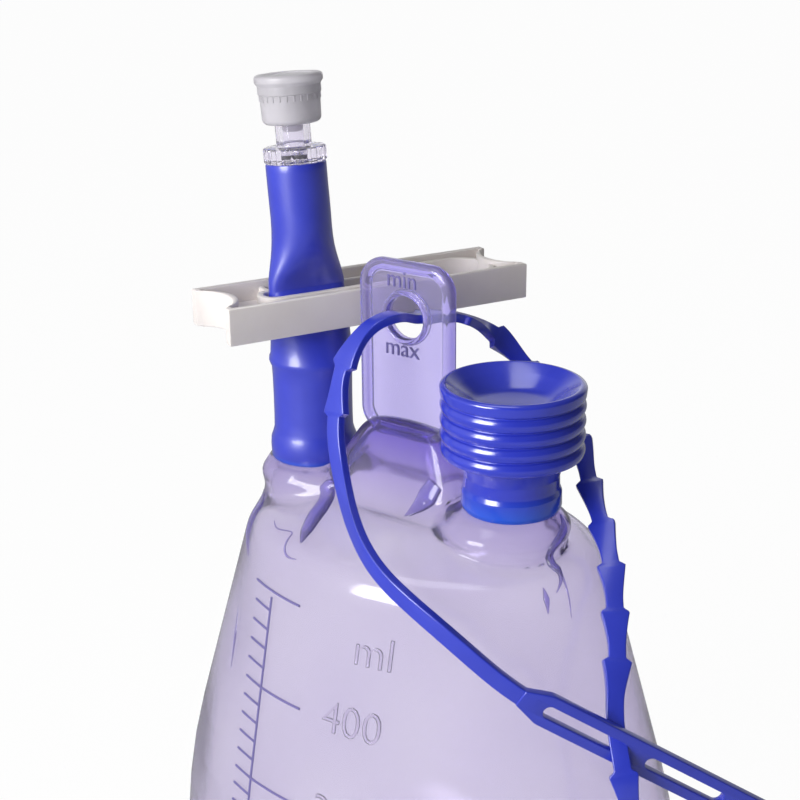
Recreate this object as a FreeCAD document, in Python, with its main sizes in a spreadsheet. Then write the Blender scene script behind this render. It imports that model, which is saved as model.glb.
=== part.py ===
"""Closed wound drainage bottle with inlet sleeve, slide clamp, connector, bellows and strap.

Frame: millimetres, +Z up, origin at the centre of the base. +X runs from the inlet
neck to the bellows neck, and -Y is the broad face that carries the volume scale.
"""
import FreeCAD, Part
import math
import os

import Sketcher

VEC = FreeCAD.Vector
UP = VEC(0, 0, 1)

SIZES = [
    # Bottle body: an oval shell, blow moulded
    ("neck_top", 106.0),
    ("body_half_width", 57.8),
    ("body_depth_ratio", 0.72),
    ("bottle_wall", 1.2),
    ("base_corner_radius", 14.0),
    ("base_trim", 0.2),
    ("flank_start", 33.0),
    ("flank_radius", 130.0),
    ("shoulder_half_width", 38.6),
    ("shoulder_drop", 9.0),
    ("shoulder_radius", 8.0),
    ("crown_half_width", 20.0),
    ("crown_drop", 4.5),
    ("crown_rise", 0.5),
    # Necks and their collars
    ("inlet_neck_place", -27.6),
    ("bellows_neck_place", 20.9),
    ("inlet_neck_radius", 6.4),
    ("inlet_neck_height", 14.0),
    ("inlet_collar_radius", 11.2),
    ("inlet_collar_drop", 3.0),
    ("inlet_seat_radius", 9.3),
    ("bellows_neck_radius", 7.8),
    ("bellows_neck_height", 7.5),
    ("bellows_collar_radius", 14.4),
    ("bellows_collar_drop", 3.4),
    ("bellows_seat_radius", 10.2),
    ("collar_root_depth", 12.0),
    ("collar_root_share", 0.8),
    ("collar_corner_radius", 2.5),
    ("neck_wall", 1.4),
    # Hanging lug and the ridge that it rises from
    ("lug_place", -4.2),
    ("lug_offset", 1.2),
    ("lug_width", 22.0),
    ("lug_thickness", 2.8),
    ("lug_height", 44.2),
    ("lug_corner_radius", 5.5),
    ("lug_border", 2.0),
    ("lug_panel_depth", 0.7),
    ("lug_hole_radius", 4.3),
    ("lug_hole_height", 33.0),
    ("lug_boss_radius", 5.3),
    ("ridge_height", 12.0),
    ("ridge_half_width", 14.6),
    ("ridge_half_depth", 8.5),
    ("ridge_top_half_depth", 2.4),
    ("ridge_corner_radius", 8.5),
    ("ridge_end_draft", 3.0),
    ("panel_corner_radius", 1.0),
    # Soft inlet sleeve
    ("sleeve_radius", 8.2),
    ("sleeve_foot_radius", 8.8),
    ("sleeve_foot_height", 5.0),
    ("sleeve_height", 23.5),
    ("sleeve_waist_step", 0.2),
    ("sleeve_foot_corner", 3.0),
    ("sleeve_foot_blend", 2.0),
    ("sleeve_waist_corner", 6.0),
    ("socket_clearance", 0.05),
    ("socket_depth", 16.0),
    ("socket_end_rise", 4.0),
    ("socket_end_radius", 2.0),
    ("pinch_length", 16.7),
    ("pinch_thickness", 4.4),
    ("pinch_shift", 1.3),
    ("tube_radius", 6.0),
    ("tube_lean", 4.4),
    ("tube_swell", 10.0),
    ("tube_length", 24.3),
    ("tube_bore_radius", 3.55),
    ("tube_bore_depth", 12.5),
    # Slide clamp
    ("clamp_angle", 66.2),
    ("clamp_length", 68.0),
    ("clamp_width", 18.5),
    ("clamp_height", 7.4),
    ("clamp_top", 36.4),
    ("clamp_tube_margin", 21.0),
    ("clamp_wall", 1.3),
    ("clamp_tray_depth", 3.0),
    ("clamp_jaw_drop", 0.9),
    ("clamp_end_hollow", 4.0),
    ("clamp_corner_land", 2.0),
    ("clamp_slot_clearance", 0.1),
    ("clamp_slot_play", 1.0),
    ("clamp_eye_margin", 13.0),
    ("clamp_eye_length", 16.5),
    ("clamp_eye_width", 12.6),
    ("clamp_gap", 0.3),
    # Connector
    ("connector_flange_radius", 6.2),
    ("connector_flange_height", 3.0),
    ("connector_flute_count", 14),
    ("connector_flute_radius", 1.1),
    ("connector_flute_depth", 0.45),
    ("connector_stem_radius", 3.45),
    ("connector_stem_height", 14.4),
    ("connector_bore_radius", 2.1),
    ("connector_barb_radius", 3.5),
    ("connector_barb_length", 11.5),
    ("connector_barb_step", 0.4),
    ("connector_lumen_radius", 1.3),
    ("connector_bore_cone", 0.8),
    ("connector_flange_corner", 0.4),
    # Cap
    ("cap_lift", 7.4),
    ("cap_radius", 5.95),
    ("cap_height", 9.2),
    ("cap_band_radius", 6.25),
    ("cap_flange_radius", 6.7),
    ("cap_flange_height", 2.1),
    ("cap_rib_count", 24),
    ("cap_rib_width", 0.5),
    ("cap_rib_height", 3.0),
    ("cap_corner_radius", 1.1),
    ("cap_body_draft", 0.2),
    ("cap_flange_taper", 0.9),
    ("cap_flange_corner", 0.6),
    ("cap_plug_taper", 0.3),
    ("cap_clearance", 0.05),
    ("cap_plug_reach", 1.6),
    ("cap_seat_gap", 0.3),
    # Bellows
    ("bellows_radius", 13.6),
    ("bellows_root_radius", 12.2),
    ("bellows_fold_radius", 14.7),
    ("bellows_crest_radius", 1.2),
    ("bellows_pitch", 2.87),
    ("bellows_ring_count", 5),
    ("bellows_rim_height", 23.6),
    ("bellows_rim_radius", 1.4),
    ("bellows_wall", 1.3),
    ("bellows_skirt_radius", 9.3),
    ("bellows_foot_radius", 9.6),
    ("bellows_foot_height", 4.0),
    ("bellows_dish_depth", 4.6),
    ("bellows_dish_radius", 7.5),
    ("bellows_dish_corner", 3.0),
    ("bellows_dish_crown", 0.6),
    ("bellows_foot_taper", 0.6),
    ("bellows_flare_height", 1.6),
    ("bellows_rim_inner_radius", 0.8),
    # Strap
    ("strap_width", 3.4),
    ("strap_thickness", 1.8),
    ("strap_hole_shift", 1.0),
    ("tooth_pitch", 9.3),
    ("tooth_width", 5.2),
    ("tooth_length", 6.4),
    ("tooth_step", 0.5),
    ("ladder_width", 6.4),
    ("ladder_slot_width", 3.0),
    ("ladder_slot_length", 14.0),
    ("ladder_rung", 5.0),
    ("ladder_slot_count", 3),
    ("ladder_taper", 5.0),
]

# The strap's lie, from the lug to the crossing, as places beside the bottle in
# millimetres from the hole (across, toward the back, up). It hangs freely, so its
# points are chosen by hand.
FRONT_RUN = [
    (-0.1, -4.6, 1.4), (-1.9, -9.8, 0.6), (-4.3, -14.0, -2.7), (-5.8, -16.4, -7.3),
    (-6.0, -17.8, -12.0), (-5.4, -19.8, -18.3), (-2.2, -22.4, -24.8), (5.5, -27.9, -31.2),
    (15.9, -32.6, -36.6), (25.7, -34.1, -41.0), (33.7, -33.2, -45.8), (40.6, -30.8, -51.4),
]
LADDER_START = (45.9, -27.8, -55.6)
LADDER_AIM = (73.0, -1.3, -80.0)
TAIL_RUN = [
    (2.6, 5.4, -0.3), (5.0, 10.4, -1.8), (7.4, 15.9, -5.2), (12.3, 19.6, -11.0),
    (18.8, 20.6, -18.0), (27.9, 17.4, -24.7), (32.7, 13.3, -30.6), (38.8, 7.9, -36.6),
    (44.4, 2.1, -42.3), (48.5, -3.6, -48.0), (52.0, -8.6, -54.1), (54.6, -13.2, -60.4),
]
# Where the tail crosses the first slot, as a share of the slot's length, and its bend
# through it, as steps out of the ladder's face and up.
SLOT_SHARE = 0.74
CROSSING_RUN = [(-3.2, 1.0), (0.0, 0.0), (3.2, -1.0), (5.0, -8.0), (5.2, -26.0)]
# Teeth that have already been pulled through to the front of the lug.
FRONT_TEETH = 3

# Barb edges, as shares of the barb's length below the flange.
BARB_SHARES = (0.75, 0.45)
BARB_EDGE_SHARE = 0.01
# Small turned corners are laid as this many chords, so that rings that repeat have few faces.
RING_CHORDS = 2


def fill_sheet(doc):
    """Write the driving dimensions as named cells and return the sheet."""
    sheet = doc.addObject("Spreadsheet::Sheet", "sizes")
    for row, (name, value) in enumerate(SIZES, start=1):
        sheet.set("A%d" % row, name)
        sheet.set("B%d" % row, str(value))
        sheet.setAlias("B%d" % row, name)
    doc.recompute()
    return sheet


def chord_points(start, centre, end, chords):
    """Return the points that divide an arc into equal chords, both ends included."""
    before = start - centre
    after = end - centre
    turn = before.getAngle(after)
    points = []
    for index in range(chords + 1):
        share = index / chords
        points.append(centre + (before * math.sin((1 - share) * turn)
                                + after * math.sin(share * turn)) * (1 / math.sin(turn)))
    return points


def rounded_outline(corners, chords=0):
    """Return the lines and arcs of a closed outline of (x, y, corner radius) corners.

    With chords above zero, each arc is laid as that many straight chords.
    """
    count = len(corners)
    joints = []
    for index in range(count):
        here = VEC(corners[index][0], corners[index][1], 0)
        before = VEC(corners[index - 1][0], corners[index - 1][1], 0)
        after = VEC(corners[(index + 1) % count][0], corners[(index + 1) % count][1], 0)
        radius = corners[index][2] if len(corners[index]) > 2 else 0.0
        inward = (before - here).normalize()
        outward = (after - here).normalize()
        half_angle = inward.getAngle(outward) / 2
        if radius <= 0 or half_angle < 1e-6 or half_angle > math.pi / 2 - 1e-6:
            joints.append((here, None, here, None))
            continue
        reach = radius / math.tan(half_angle)
        middle_way = (inward + outward).normalize()
        centre = here + middle_way * (radius / math.sin(half_angle))
        joints.append((here + inward * reach, centre - middle_way * radius, here + outward * reach, centre))
    pieces = []
    for index in range(count):
        start, middle, end, centre = joints[index]
        following = joints[(index + 1) % count][0]
        if middle is not None and chords:
            points = chord_points(start, centre, end, chords)
            pieces += [Part.LineSegment(one, two) for one, two in zip(points, points[1:])]
        elif middle is not None:
            pieces.append(Part.Arc(start, middle, end))
        if end.distanceToPoint(following) > 1e-6:
            pieces.append(Part.LineSegment(end, following))
    return pieces


def standing_face(outline):
    """Turn an outline drawn in X and Y into a face that stands in X and Z."""
    wire = Part.Wire([piece.toShape() for piece in outline])
    face = Part.Face(wire)
    face.rotate(VEC(0, 0, 0), VEC(1, 0, 0), 90)
    return face


def lathe(outline):
    """Turn an outline of radii and heights about the Z axis."""
    return standing_face(outline).revolve(VEC(0, 0, 0), UP, 360)


def origin_plane(body, role):
    """Return the named plane of a body's own origin."""
    for feature in body.Origin.OriginFeatures:
        if feature.Role == role:
            return feature
    raise ValueError("no plane %s" % role)


def add_sketch(body, name, role, outline, lift=None):
    """Attach a sketch with the outline to one of the body's origin planes."""
    sketch = body.newObject("Sketcher::SketchObject", name)
    sketch.AttachmentSupport = [(origin_plane(body, role), "")]
    sketch.MapMode = "FlatFace"
    sketch.addGeometry(outline, False)
    if lift:
        sketch.setExpression("AttachmentOffset.Base.z", lift)
    return sketch


def add_revolution(body, name, outline):
    """Revolve a half outline of radii and heights about the body's Z axis."""
    sketch = add_sketch(body, name + "_outline", "XZ_Plane", outline)
    turned = body.newObject("PartDesign::Revolution", name)
    turned.Profile = sketch
    turned.ReferenceAxis = (sketch, ["V_Axis"])
    turned.Angle = 360
    return turned


def add_pad(body, name, outline, length, lift=None):
    """Raise an outline upwards by the length, which is an expression."""
    pad = body.newObject("PartDesign::Pad", name)
    pad.Profile = add_sketch(body, name + "_outline", "XY_Plane", outline, lift)
    pad.setExpression("Length", length)
    return pad


def add_pocket(body, name, outline, depth, lift):
    """Cut an outline downwards from the lift; both are expressions."""
    pocket = body.newObject("PartDesign::Pocket", name)
    pocket.Profile = add_sketch(body, name + "_outline", "XY_Plane", outline, lift)
    pocket.setExpression("Length", depth)
    return pocket


def add_polar_pattern(body, name, feature, count):
    """Repeat a feature round the body's Z axis; the count is an expression."""
    pattern = body.newObject("PartDesign::PolarPattern", name)
    pattern.Originals = [feature]
    pattern.Axis = (feature.Profile[0], ["N_Axis"])
    pattern.Angle = 360
    pattern.setExpression("Occurrences", count)
    body.Tip = pattern
    return pattern


def slot_outline(length, width, centre=0.0):
    """Return an outline with two straight sides and two half-round ends along X."""
    run = (length - width) / 2
    half = width / 2
    left = centre - run
    right = centre + run
    return [
        Part.LineSegment(VEC(left, -half, 0), VEC(right, -half, 0)),
        Part.Arc(VEC(right, -half, 0), VEC(right + half, 0, 0), VEC(right, half, 0)),
        Part.LineSegment(VEC(right, half, 0), VEC(left, half, 0)),
        Part.Arc(VEC(left, half, 0), VEC(left - half, 0, 0), VEC(left, -half, 0)),
    ]


def shell_profile(size, inset):
    """Outline of half the oval body, moved inwards by the inset."""
    top = size.neck_top - size.crown_drop
    slope = (size.body_half_width - size.shoulder_half_width) / (
        size.neck_top - size.shoulder_drop - size.flank_start)
    inward = inset * math.hypot(1.0, slope)
    return rounded_outline([
        (0.0, inset - size.base_trim),
        (size.body_half_width - inset, inset - size.base_trim, size.base_corner_radius - inset),
        (size.body_half_width - inset, size.flank_start, size.flank_radius - inset),
        (size.shoulder_half_width - inward, size.neck_top - size.shoulder_drop - inset,
         size.shoulder_radius - inset),
        (size.crown_half_width, top - inset, size.crown_half_width),
        (0.0, top + size.crown_rise - inset),
    ])


def oval_body(size, inset):
    """Turn the profile and press it to the oval section."""
    depth = (size.body_half_width * size.body_depth_ratio - inset) / (size.body_half_width - inset)
    press = FreeCAD.Matrix()
    press.scale(VEC(1.0, depth, 1.0))
    return lathe(shell_profile(size, inset)).transformGeometry(press)


def hollow_body(size):
    """Oval skin round a void, trimmed to a flat base, and the void by itself."""
    skin = oval_body(size, 0.0)
    void = oval_body(size, size.bottle_wall)
    walls = Part.makeSolid(Part.makeCompound([skin.Shells[0], void.Shells[0].reversed()]))
    reach = 2 * size.body_half_width
    below = Part.makeBox(2 * reach, 2 * reach, reach, VEC(-reach, -reach, -reach))
    return walls.cut(below), void


def collar(size, radius, drop, seat, inset):
    """Rounded collar under a neck, moved inwards by the inset."""
    return lathe(rounded_outline([
        (0.0, size.neck_top - size.collar_root_depth + inset),
        (radius * size.collar_root_share - inset, size.neck_top - size.collar_root_depth + inset),
        (radius - inset, size.neck_top - drop - inset, size.collar_corner_radius),
        (seat - inset, size.neck_top - inset),
        (0.0, size.neck_top - inset),
    ], RING_CHORDS))


def ridge(size, inset):
    """Hollow ridge under the lug: an arched outline with drafted faces."""
    foot = size.neck_top - size.shoulder_drop + inset
    top = size.neck_top + size.ridge_height - inset
    half = size.ridge_half_width - inset
    arch = standing_face(rounded_outline([
        (-half, foot), (half, foot),
        (half - size.ridge_end_draft, top, size.ridge_corner_radius),
        (size.ridge_end_draft - half, top, size.ridge_corner_radius),
    ]))
    arch.translate(VEC(0, size.ridge_half_depth, 0))
    arched = arch.extrude(VEC(0, -2 * size.ridge_half_depth, 0))
    wedge = standing_face(rounded_outline([
        (inset - size.ridge_half_depth, foot), (size.ridge_half_depth - inset, foot),
        (size.ridge_top_half_depth, top), (-size.ridge_top_half_depth, top),
    ]))
    wedge.rotate(VEC(0, 0, 0), UP, 90)
    wedge.translate(VEC(-half, 0, 0))
    drafted = wedge.extrude(VEC(2 * half, 0, 0))
    placed = arched.common(drafted)
    placed.translate(VEC(size.lug_place, size.lug_offset, 0))
    return placed


def lug(size):
    """Flat hanging lug with a raised border, a boss and a hole."""
    half = size.lug_width / 2
    top = size.neck_top + size.lug_height
    foot = size.neck_top + size.ridge_height / 2
    inner = half - size.lug_border
    plate_face = standing_face(rounded_outline([
        (-half, foot), (half, foot), (half, top, size.lug_corner_radius),
        (-half, top, size.lug_corner_radius)]))
    plate_face.translate(VEC(0, size.lug_thickness / 2, 0))
    plate = plate_face.extrude(VEC(0, -size.lug_thickness, 0))
    panel_foot = size.neck_top + size.ridge_height + size.lug_border / 2
    panel_radius = size.lug_corner_radius - size.lug_border
    panel = standing_face(rounded_outline([
        (-inner, panel_foot, size.panel_corner_radius), (inner, panel_foot, size.panel_corner_radius),
        (inner, top - size.lug_border, panel_radius), (-inner, top - size.lug_border, panel_radius)]))
    hole_height = size.neck_top + size.lug_hole_height
    for face_place, way in ((size.lug_thickness / 2, -1), (-size.lug_thickness / 2, 1)):
        recess = panel.copy()
        recess.translate(VEC(0, face_place, 0))
        cut = recess.extrude(VEC(0, way * size.lug_panel_depth, 0))
        boss = Part.makeCylinder(size.lug_boss_radius, 2 * size.lug_thickness,
                                 VEC(0, -size.lug_thickness, hole_height), VEC(0, 1, 0))
        plate = plate.cut(cut.cut(boss))
    hole = Part.makeCylinder(size.lug_hole_radius, 2 * size.lug_thickness,
                             VEC(0, -size.lug_thickness, hole_height), VEC(0, 1, 0))
    plate = plate.cut(hole)
    plate.translate(VEC(size.lug_place, size.lug_offset, 0))
    return plate


def neck(size, place, radius, height):
    """Straight neck from inside the collar up to its rim."""
    depth = size.collar_root_depth - size.bottle_wall
    return Part.makeCylinder(radius, height + depth, VEC(place, 0, size.neck_top - depth))


def make_bottle(size):
    """One blow-moulded shell: body, collars, necks, ridge and lug."""
    necks = [
        (size.inlet_neck_place, size.inlet_neck_radius, size.inlet_neck_height,
         size.inlet_collar_radius, size.inlet_collar_drop, size.inlet_seat_radius),
        (size.bellows_neck_place, size.bellows_neck_radius, size.bellows_neck_height,
         size.bellows_collar_radius, size.bellows_collar_drop, size.bellows_seat_radius),
    ]
    shell, void = hollow_body(size)
    raised = ridge(size, 0.0)
    hollows = ridge(size, size.bottle_wall)
    for place, radius, height, collar_radius, drop, seat in necks:
        outer_collar = collar(size, collar_radius, drop, seat, 0.0)
        outer_collar.translate(VEC(place, 0, 0))
        inner_collar = collar(size, collar_radius, drop, seat, size.bottle_wall)
        inner_collar.translate(VEC(place, 0, 0))
        bore = neck(size, place, radius - size.neck_wall, height + 1.0)
        raised = raised.fuse(outer_collar).fuse(neck(size, place, radius, height))
        hollows = hollows.fuse(inner_collar).fuse(bore)
    shell = shell.fuse(raised.cut(void)).cut(hollows).fuse(lug(size))
    return shell.removeSplitter()


def quartered(radius):
    """Circle of four arcs whose ends lie on the diagonals."""
    side = radius * math.sqrt(0.5)
    corners = [VEC(-side, -side, 0), VEC(side, -side, 0), VEC(side, side, 0), VEC(-side, side, 0)]
    middles = [VEC(0, -radius, 0), VEC(radius, 0, 0), VEC(0, radius, 0), VEC(-radius, 0, 0)]
    return [Part.Arc(corners[index], middles[index], corners[(index + 1) % 4]) for index in range(4)]


def placed_wire(outline, place, turn, lean):
    """Wire of an outline, turned about Z, leant toward -X and moved to its place."""
    wire = Part.Wire([piece.toShape() for piece in outline])
    wire.rotate(VEC(0, 0, 0), UP, turn)
    wire.rotate(VEC(0, 0, 0), VEC(0, 1, 0), -lean)
    wire.translate(place)
    return wire


def tube_axis(size):
    """Foot of the upper tube on the clamp's top, and its leaning direction."""
    along = math.radians(size.clamp_angle)
    foot = VEC(size.inlet_neck_place - size.pinch_shift * math.cos(along),
               -size.pinch_shift * math.sin(along), size.neck_top + size.clamp_top)
    lean = math.radians(size.tube_lean)
    return foot, VEC(-math.sin(lean), 0, math.cos(lean))


def make_inlet_sleeve(size):
    """Soft sleeve: socket over the neck, flat pinch in the clamp and round tube above."""
    foot, way = tube_axis(size)
    top = size.neck_top + size.sleeve_height
    axis_place = VEC(size.inlet_neck_place, 0, 0)
    waist = size.sleeve_radius - size.sleeve_waist_step
    foot_top = size.neck_top + size.sleeve_foot_height
    lower = lathe(rounded_outline([
        (0.0, size.neck_top), (size.sleeve_foot_radius, size.neck_top),
        (size.sleeve_foot_radius, foot_top, size.sleeve_foot_corner),
        (waist, foot_top + size.sleeve_foot_blend, size.sleeve_waist_corner),
        (size.sleeve_radius, top), (0.0, top)], RING_CHORDS))
    lower.translate(axis_place)
    pinch_foot = VEC(foot.x, foot.y, foot.z - size.clamp_height - size.clamp_gap)
    tube_foot = foot + UP * size.clamp_gap
    swell_place = tube_foot + way * size.tube_swell
    end = foot + way * size.tube_length
    turn = size.clamp_angle
    flat = slot_outline(size.pinch_length, size.pinch_thickness)
    flat_foot = placed_wire(flat, pinch_foot, turn, 0.0)
    flat_top = placed_wire(flat, tube_foot, turn, 0.0)
    round_foot = placed_wire(quartered(size.sleeve_radius), VEC(size.inlet_neck_place, 0, top), turn, 0.0)
    round_top = placed_wire(quartered(size.tube_radius), swell_place, turn, size.tube_lean)
    shoulder = Part.makeLoft([round_foot, flat_foot], True, True)
    pinch = Part.Face(flat_foot).extrude(tube_foot - pinch_foot)
    swell = Part.makeLoft([flat_top, round_top], True, True)
    tube = Part.makeCylinder(size.tube_radius, (end - swell_place).Length, swell_place, way)
    sleeve = lower.fuse(shoulder).fuse(pinch).fuse(swell).fuse(tube)
    socket_radius = size.inlet_neck_radius + size.socket_clearance
    socket_end = size.neck_top + size.socket_depth + size.socket_end_rise
    socket = lathe(rounded_outline([
        (0.0, size.neck_top - 1.0), (socket_radius, size.neck_top - 1.0),
        (socket_radius, size.neck_top + size.socket_depth),
        (size.socket_end_radius, socket_end), (0.0, socket_end)]))
    socket.translate(axis_place)
    bore = Part.makeCylinder(size.tube_bore_radius, size.tube_bore_depth + 1.0,
                             end - way * size.tube_bore_depth, way)
    return sleeve.cut(socket).cut(bore).removeSplitter()


def make_clamp(doc, size):
    """Slide clamp: a tray with hollow ends, a pinching slot and a wide eye."""
    body = doc.addObject("PartDesign::Body", "slide_clamp")
    half = size.clamp_length / 2
    wide = size.clamp_width / 2

    def ends(length, width, hollow, land):
        middle = length - hollow
        return [
            Part.LineSegment(VEC(-length, -width, 0), VEC(length, -width, 0)),
            Part.LineSegment(VEC(length, -width, 0), VEC(length, land - width, 0)),
            Part.Arc(VEC(length, land - width, 0), VEC(middle, 0, 0), VEC(length, width - land, 0)),
            Part.LineSegment(VEC(length, width - land, 0), VEC(length, width, 0)),
            Part.LineSegment(VEC(length, width, 0), VEC(-length, width, 0)),
            Part.LineSegment(VEC(-length, width, 0), VEC(-length, width - land, 0)),
            Part.Arc(VEC(-length, width - land, 0), VEC(-middle, 0, 0), VEC(-length, land - width, 0)),
            Part.LineSegment(VEC(-length, land - width, 0), VEC(-length, -width, 0)),
        ]

    add_pad(body, "clamp_block", ends(half, wide, size.clamp_end_hollow, size.clamp_corner_land),
            "sizes.clamp_height")
    slot_width = size.pinch_thickness + 2 * size.clamp_slot_clearance
    tube_place = half - size.clamp_tube_margin
    eye_place = half - size.clamp_eye_margin
    slot_left = -tube_place - size.pinch_length / 2 - size.clamp_slot_play
    eye_right = eye_place + size.clamp_eye_length / 2
    tray_half = half - size.clamp_wall
    inner = ends(tray_half, wide - size.clamp_wall, size.clamp_end_hollow,
                 size.clamp_corner_land - 0.6 * size.clamp_wall)
    add_pocket(body, "clamp_jaw_level", inner, "sizes.clamp_jaw_drop", "sizes.clamp_height")
    island = slot_outline(eye_right - slot_left + 2 * size.clamp_wall,
                          size.clamp_eye_width + 2 * size.clamp_wall, (slot_left + eye_right) / 2)
    add_pocket(body, "clamp_tray", inner + island, "sizes.clamp_tray_depth", "sizes.clamp_height")
    slot_centre = (slot_left + eye_place) / 2
    add_pocket(body, "clamp_slot",
               slot_outline(eye_place - slot_left, slot_width, slot_centre),
               "sizes.clamp_height", "sizes.clamp_height")
    add_pocket(body, "clamp_eye",
               slot_outline(size.clamp_eye_length, size.clamp_eye_width, eye_place),
               "sizes.clamp_height", "sizes.clamp_height")
    along = math.radians(size.clamp_angle)
    foot = tube_axis(size)[0]
    place = foot + VEC(math.cos(along), math.sin(along), 0) * tube_place
    body.Placement = FreeCAD.Placement(place - UP * size.clamp_height,
                                       FreeCAD.Rotation(UP, size.clamp_angle))
    return body


def lean_placement(size, rise):
    """Placement on the leaning tube axis at the rise above the tube's end."""
    foot, way = tube_axis(size)
    spin = FreeCAD.Rotation(VEC(0, 1, 0), -size.tube_lean)
    return FreeCAD.Placement(foot + way * (size.tube_length + rise), spin)


def make_connector(doc, size):
    """Clear connector: barb in the tube, fluted flange and open stem."""
    body = doc.addObject("PartDesign::Body", "connector")
    barb = size.connector_barb_radius
    step = size.connector_barb_step
    length = size.connector_barb_length
    stem_top = size.connector_stem_height
    bore_foot = size.connector_flange_height / 2
    outline = [(size.connector_lumen_radius, -length), (barb - step, -length)]
    for share in BARB_SHARES:
        outline += [(barb, -length * share), (barb - step, -length * (share - BARB_EDGE_SHARE))]
    outline += [
        (barb - step, 0.0), (size.connector_flange_radius, 0.0),
        (size.connector_flange_radius, size.connector_flange_height, size.connector_flange_corner),
        (size.connector_stem_radius, size.connector_flange_height),
        (size.connector_stem_radius, stem_top), (size.connector_bore_radius, stem_top),
        (size.connector_bore_radius, bore_foot),
        (size.connector_lumen_radius, bore_foot - size.connector_bore_cone)]
    add_revolution(body, "connector_form", rounded_outline(outline, 1))
    place = size.connector_flange_radius + size.connector_flute_radius - size.connector_flute_depth
    flute = [Part.Circle(VEC(place, 0, 0), UP, size.connector_flute_radius)]
    cut = add_pocket(body, "connector_flute", flute, "2 * sizes.connector_flange_height",
                     "sizes.connector_flange_height + 1")
    doc.recompute()
    add_polar_pattern(body, "connector_flutes", cut, "sizes.connector_flute_count")
    body.Placement = lean_placement(size, 0.0)
    return body


def make_cap(doc, size):
    """Cap: ribbed body under a wider flange, with a plug in the stem's bore."""
    body = doc.addObject("PartDesign::Body", "connector_cap")
    socket = size.connector_stem_radius + size.cap_clearance
    plug = size.connector_bore_radius - size.cap_clearance
    roof = size.connector_stem_height - size.cap_lift + size.cap_seat_gap
    flange_foot = size.cap_height - size.cap_flange_height
    add_revolution(body, "cap_form", rounded_outline([
        (0.0, -size.cap_plug_reach), (plug - size.cap_plug_taper, -size.cap_plug_reach),
        (plug, size.cap_plug_taper - size.cap_plug_reach), (plug, roof), (socket, roof), (socket, 0.0),
        (size.cap_radius - size.cap_body_draft, 0.0, size.cap_corner_radius),
        (size.cap_radius, flange_foot), (size.cap_band_radius, flange_foot),
        (size.cap_flange_radius, flange_foot + size.cap_flange_taper),
        (size.cap_flange_radius, size.cap_height, size.cap_flange_corner),
        (0.0, size.cap_height)], RING_CHORDS))
    reach = size.cap_band_radius
    half = size.cap_rib_width / 2
    rib_outline = rounded_outline([
        (size.cap_radius - 0.4, -half), (reach, -half), (reach, half), (size.cap_radius - 0.4, half)])
    rib = add_pad(body, "cap_rib", rib_outline, "sizes.cap_rib_height + 0.2",
                  "sizes.cap_height - sizes.cap_flange_height - sizes.cap_rib_height")
    doc.recompute()
    add_polar_pattern(body, "cap_ribs", rib, "sizes.cap_rib_count")
    body.Placement = lean_placement(size, size.cap_lift)
    return body


def make_bellows(doc, size):
    """Vacuum bellows: skirt on the neck, stacked folds and a dished top."""
    body = doc.addObject("PartDesign::Body", "bellows")
    count = int(size.bellows_ring_count)
    pitch = size.bellows_pitch
    rim = size.bellows_rim_height
    top = rim + pitch / 2
    floor = top - size.bellows_dish_depth
    root = size.bellows_root_radius
    fold = size.bellows_fold_radius
    skirt_top = rim - (count - 0.5) * pitch
    skirt_bore = size.bellows_neck_radius + size.socket_clearance
    wall = size.bellows_wall
    inner_root = root - wall
    outline = [
        (skirt_bore, 0.0), (size.bellows_foot_radius, 0.0),
        (size.bellows_foot_radius, size.bellows_foot_height),
        (size.bellows_skirt_radius, size.bellows_foot_height + size.bellows_foot_taper),
        (size.bellows_skirt_radius, skirt_top - size.bellows_flare_height), (root, skirt_top)]
    for ring in range(count - 1):
        level = skirt_top + (ring + 0.5) * pitch
        outline += [(fold, level, size.bellows_crest_radius), (root, level + pitch / 2)]
    outline += [
        (size.bellows_radius, rim - size.bellows_rim_radius),
        (size.bellows_radius, top, size.bellows_rim_radius),
        (root - size.bellows_rim_radius, top, size.bellows_rim_inner_radius),
        (size.bellows_dish_radius, floor + size.bellows_dish_crown, size.bellows_dish_corner),
        (0.0, floor)]
    outline += [
        (0.0, floor - wall), (size.bellows_dish_radius, floor - wall + size.bellows_dish_crown),
        (inner_root, rim - wall), (inner_root, skirt_top + wall), (skirt_bore, skirt_top - wall)]
    add_revolution(body, "bellows_form", rounded_outline(outline, RING_CHORDS))
    body.setExpression("Placement.Base.x", "sizes.bellows_neck_place")
    body.setExpression("Placement.Base.z", "sizes.neck_top")
    return body


def hole_centre(size):
    """Middle of the strap where it passes through the lug."""
    return VEC(size.lug_place + size.strap_hole_shift, size.lug_offset,
               size.neck_top + size.lug_hole_height)


def from_hole(size, steps):
    """Places of the strap, given as steps from the hole."""
    base = hole_centre(size)
    return [base + VEC(*step) for step in steps]


def strap_section(place, way, face, width, thickness):
    """Rectangular section across the way, its broad side square to the face direction."""
    across = way.cross(face).normalize()
    normal = across.cross(way).normalize()
    corners = [
        place + across * (width / 2) + normal * (thickness / 2),
        place - across * (width / 2) + normal * (thickness / 2),
        place - across * (width / 2) - normal * (thickness / 2),
        place + across * (width / 2) - normal * (thickness / 2),
    ]
    return Part.makePolygon(corners + corners[:1])


def face_at(faces, distance):
    """Direction of the broad side at a distance, between the (distance, direction) given."""
    for (start, before), (end, after) in zip(faces, faces[1:]):
        if distance <= end:
            share = (distance - start) / (end - start)
            return before * (1 - share) + after * share
    return faces[-1][1]


def strap_band(curve, stations, faces, thickness):
    """Ruled band through sections at the (distance, width) stations along the curve."""
    wires = []
    for distance, width in stations:
        parameter = curve.parameterAtDistance(distance, curve.FirstParameter)
        wires.append(strap_section(curve.value(parameter), curve.tangent(parameter)[0],
                                   face_at(faces, distance), width, thickness))
    return Part.makeLoft(wires, True, True)


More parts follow.
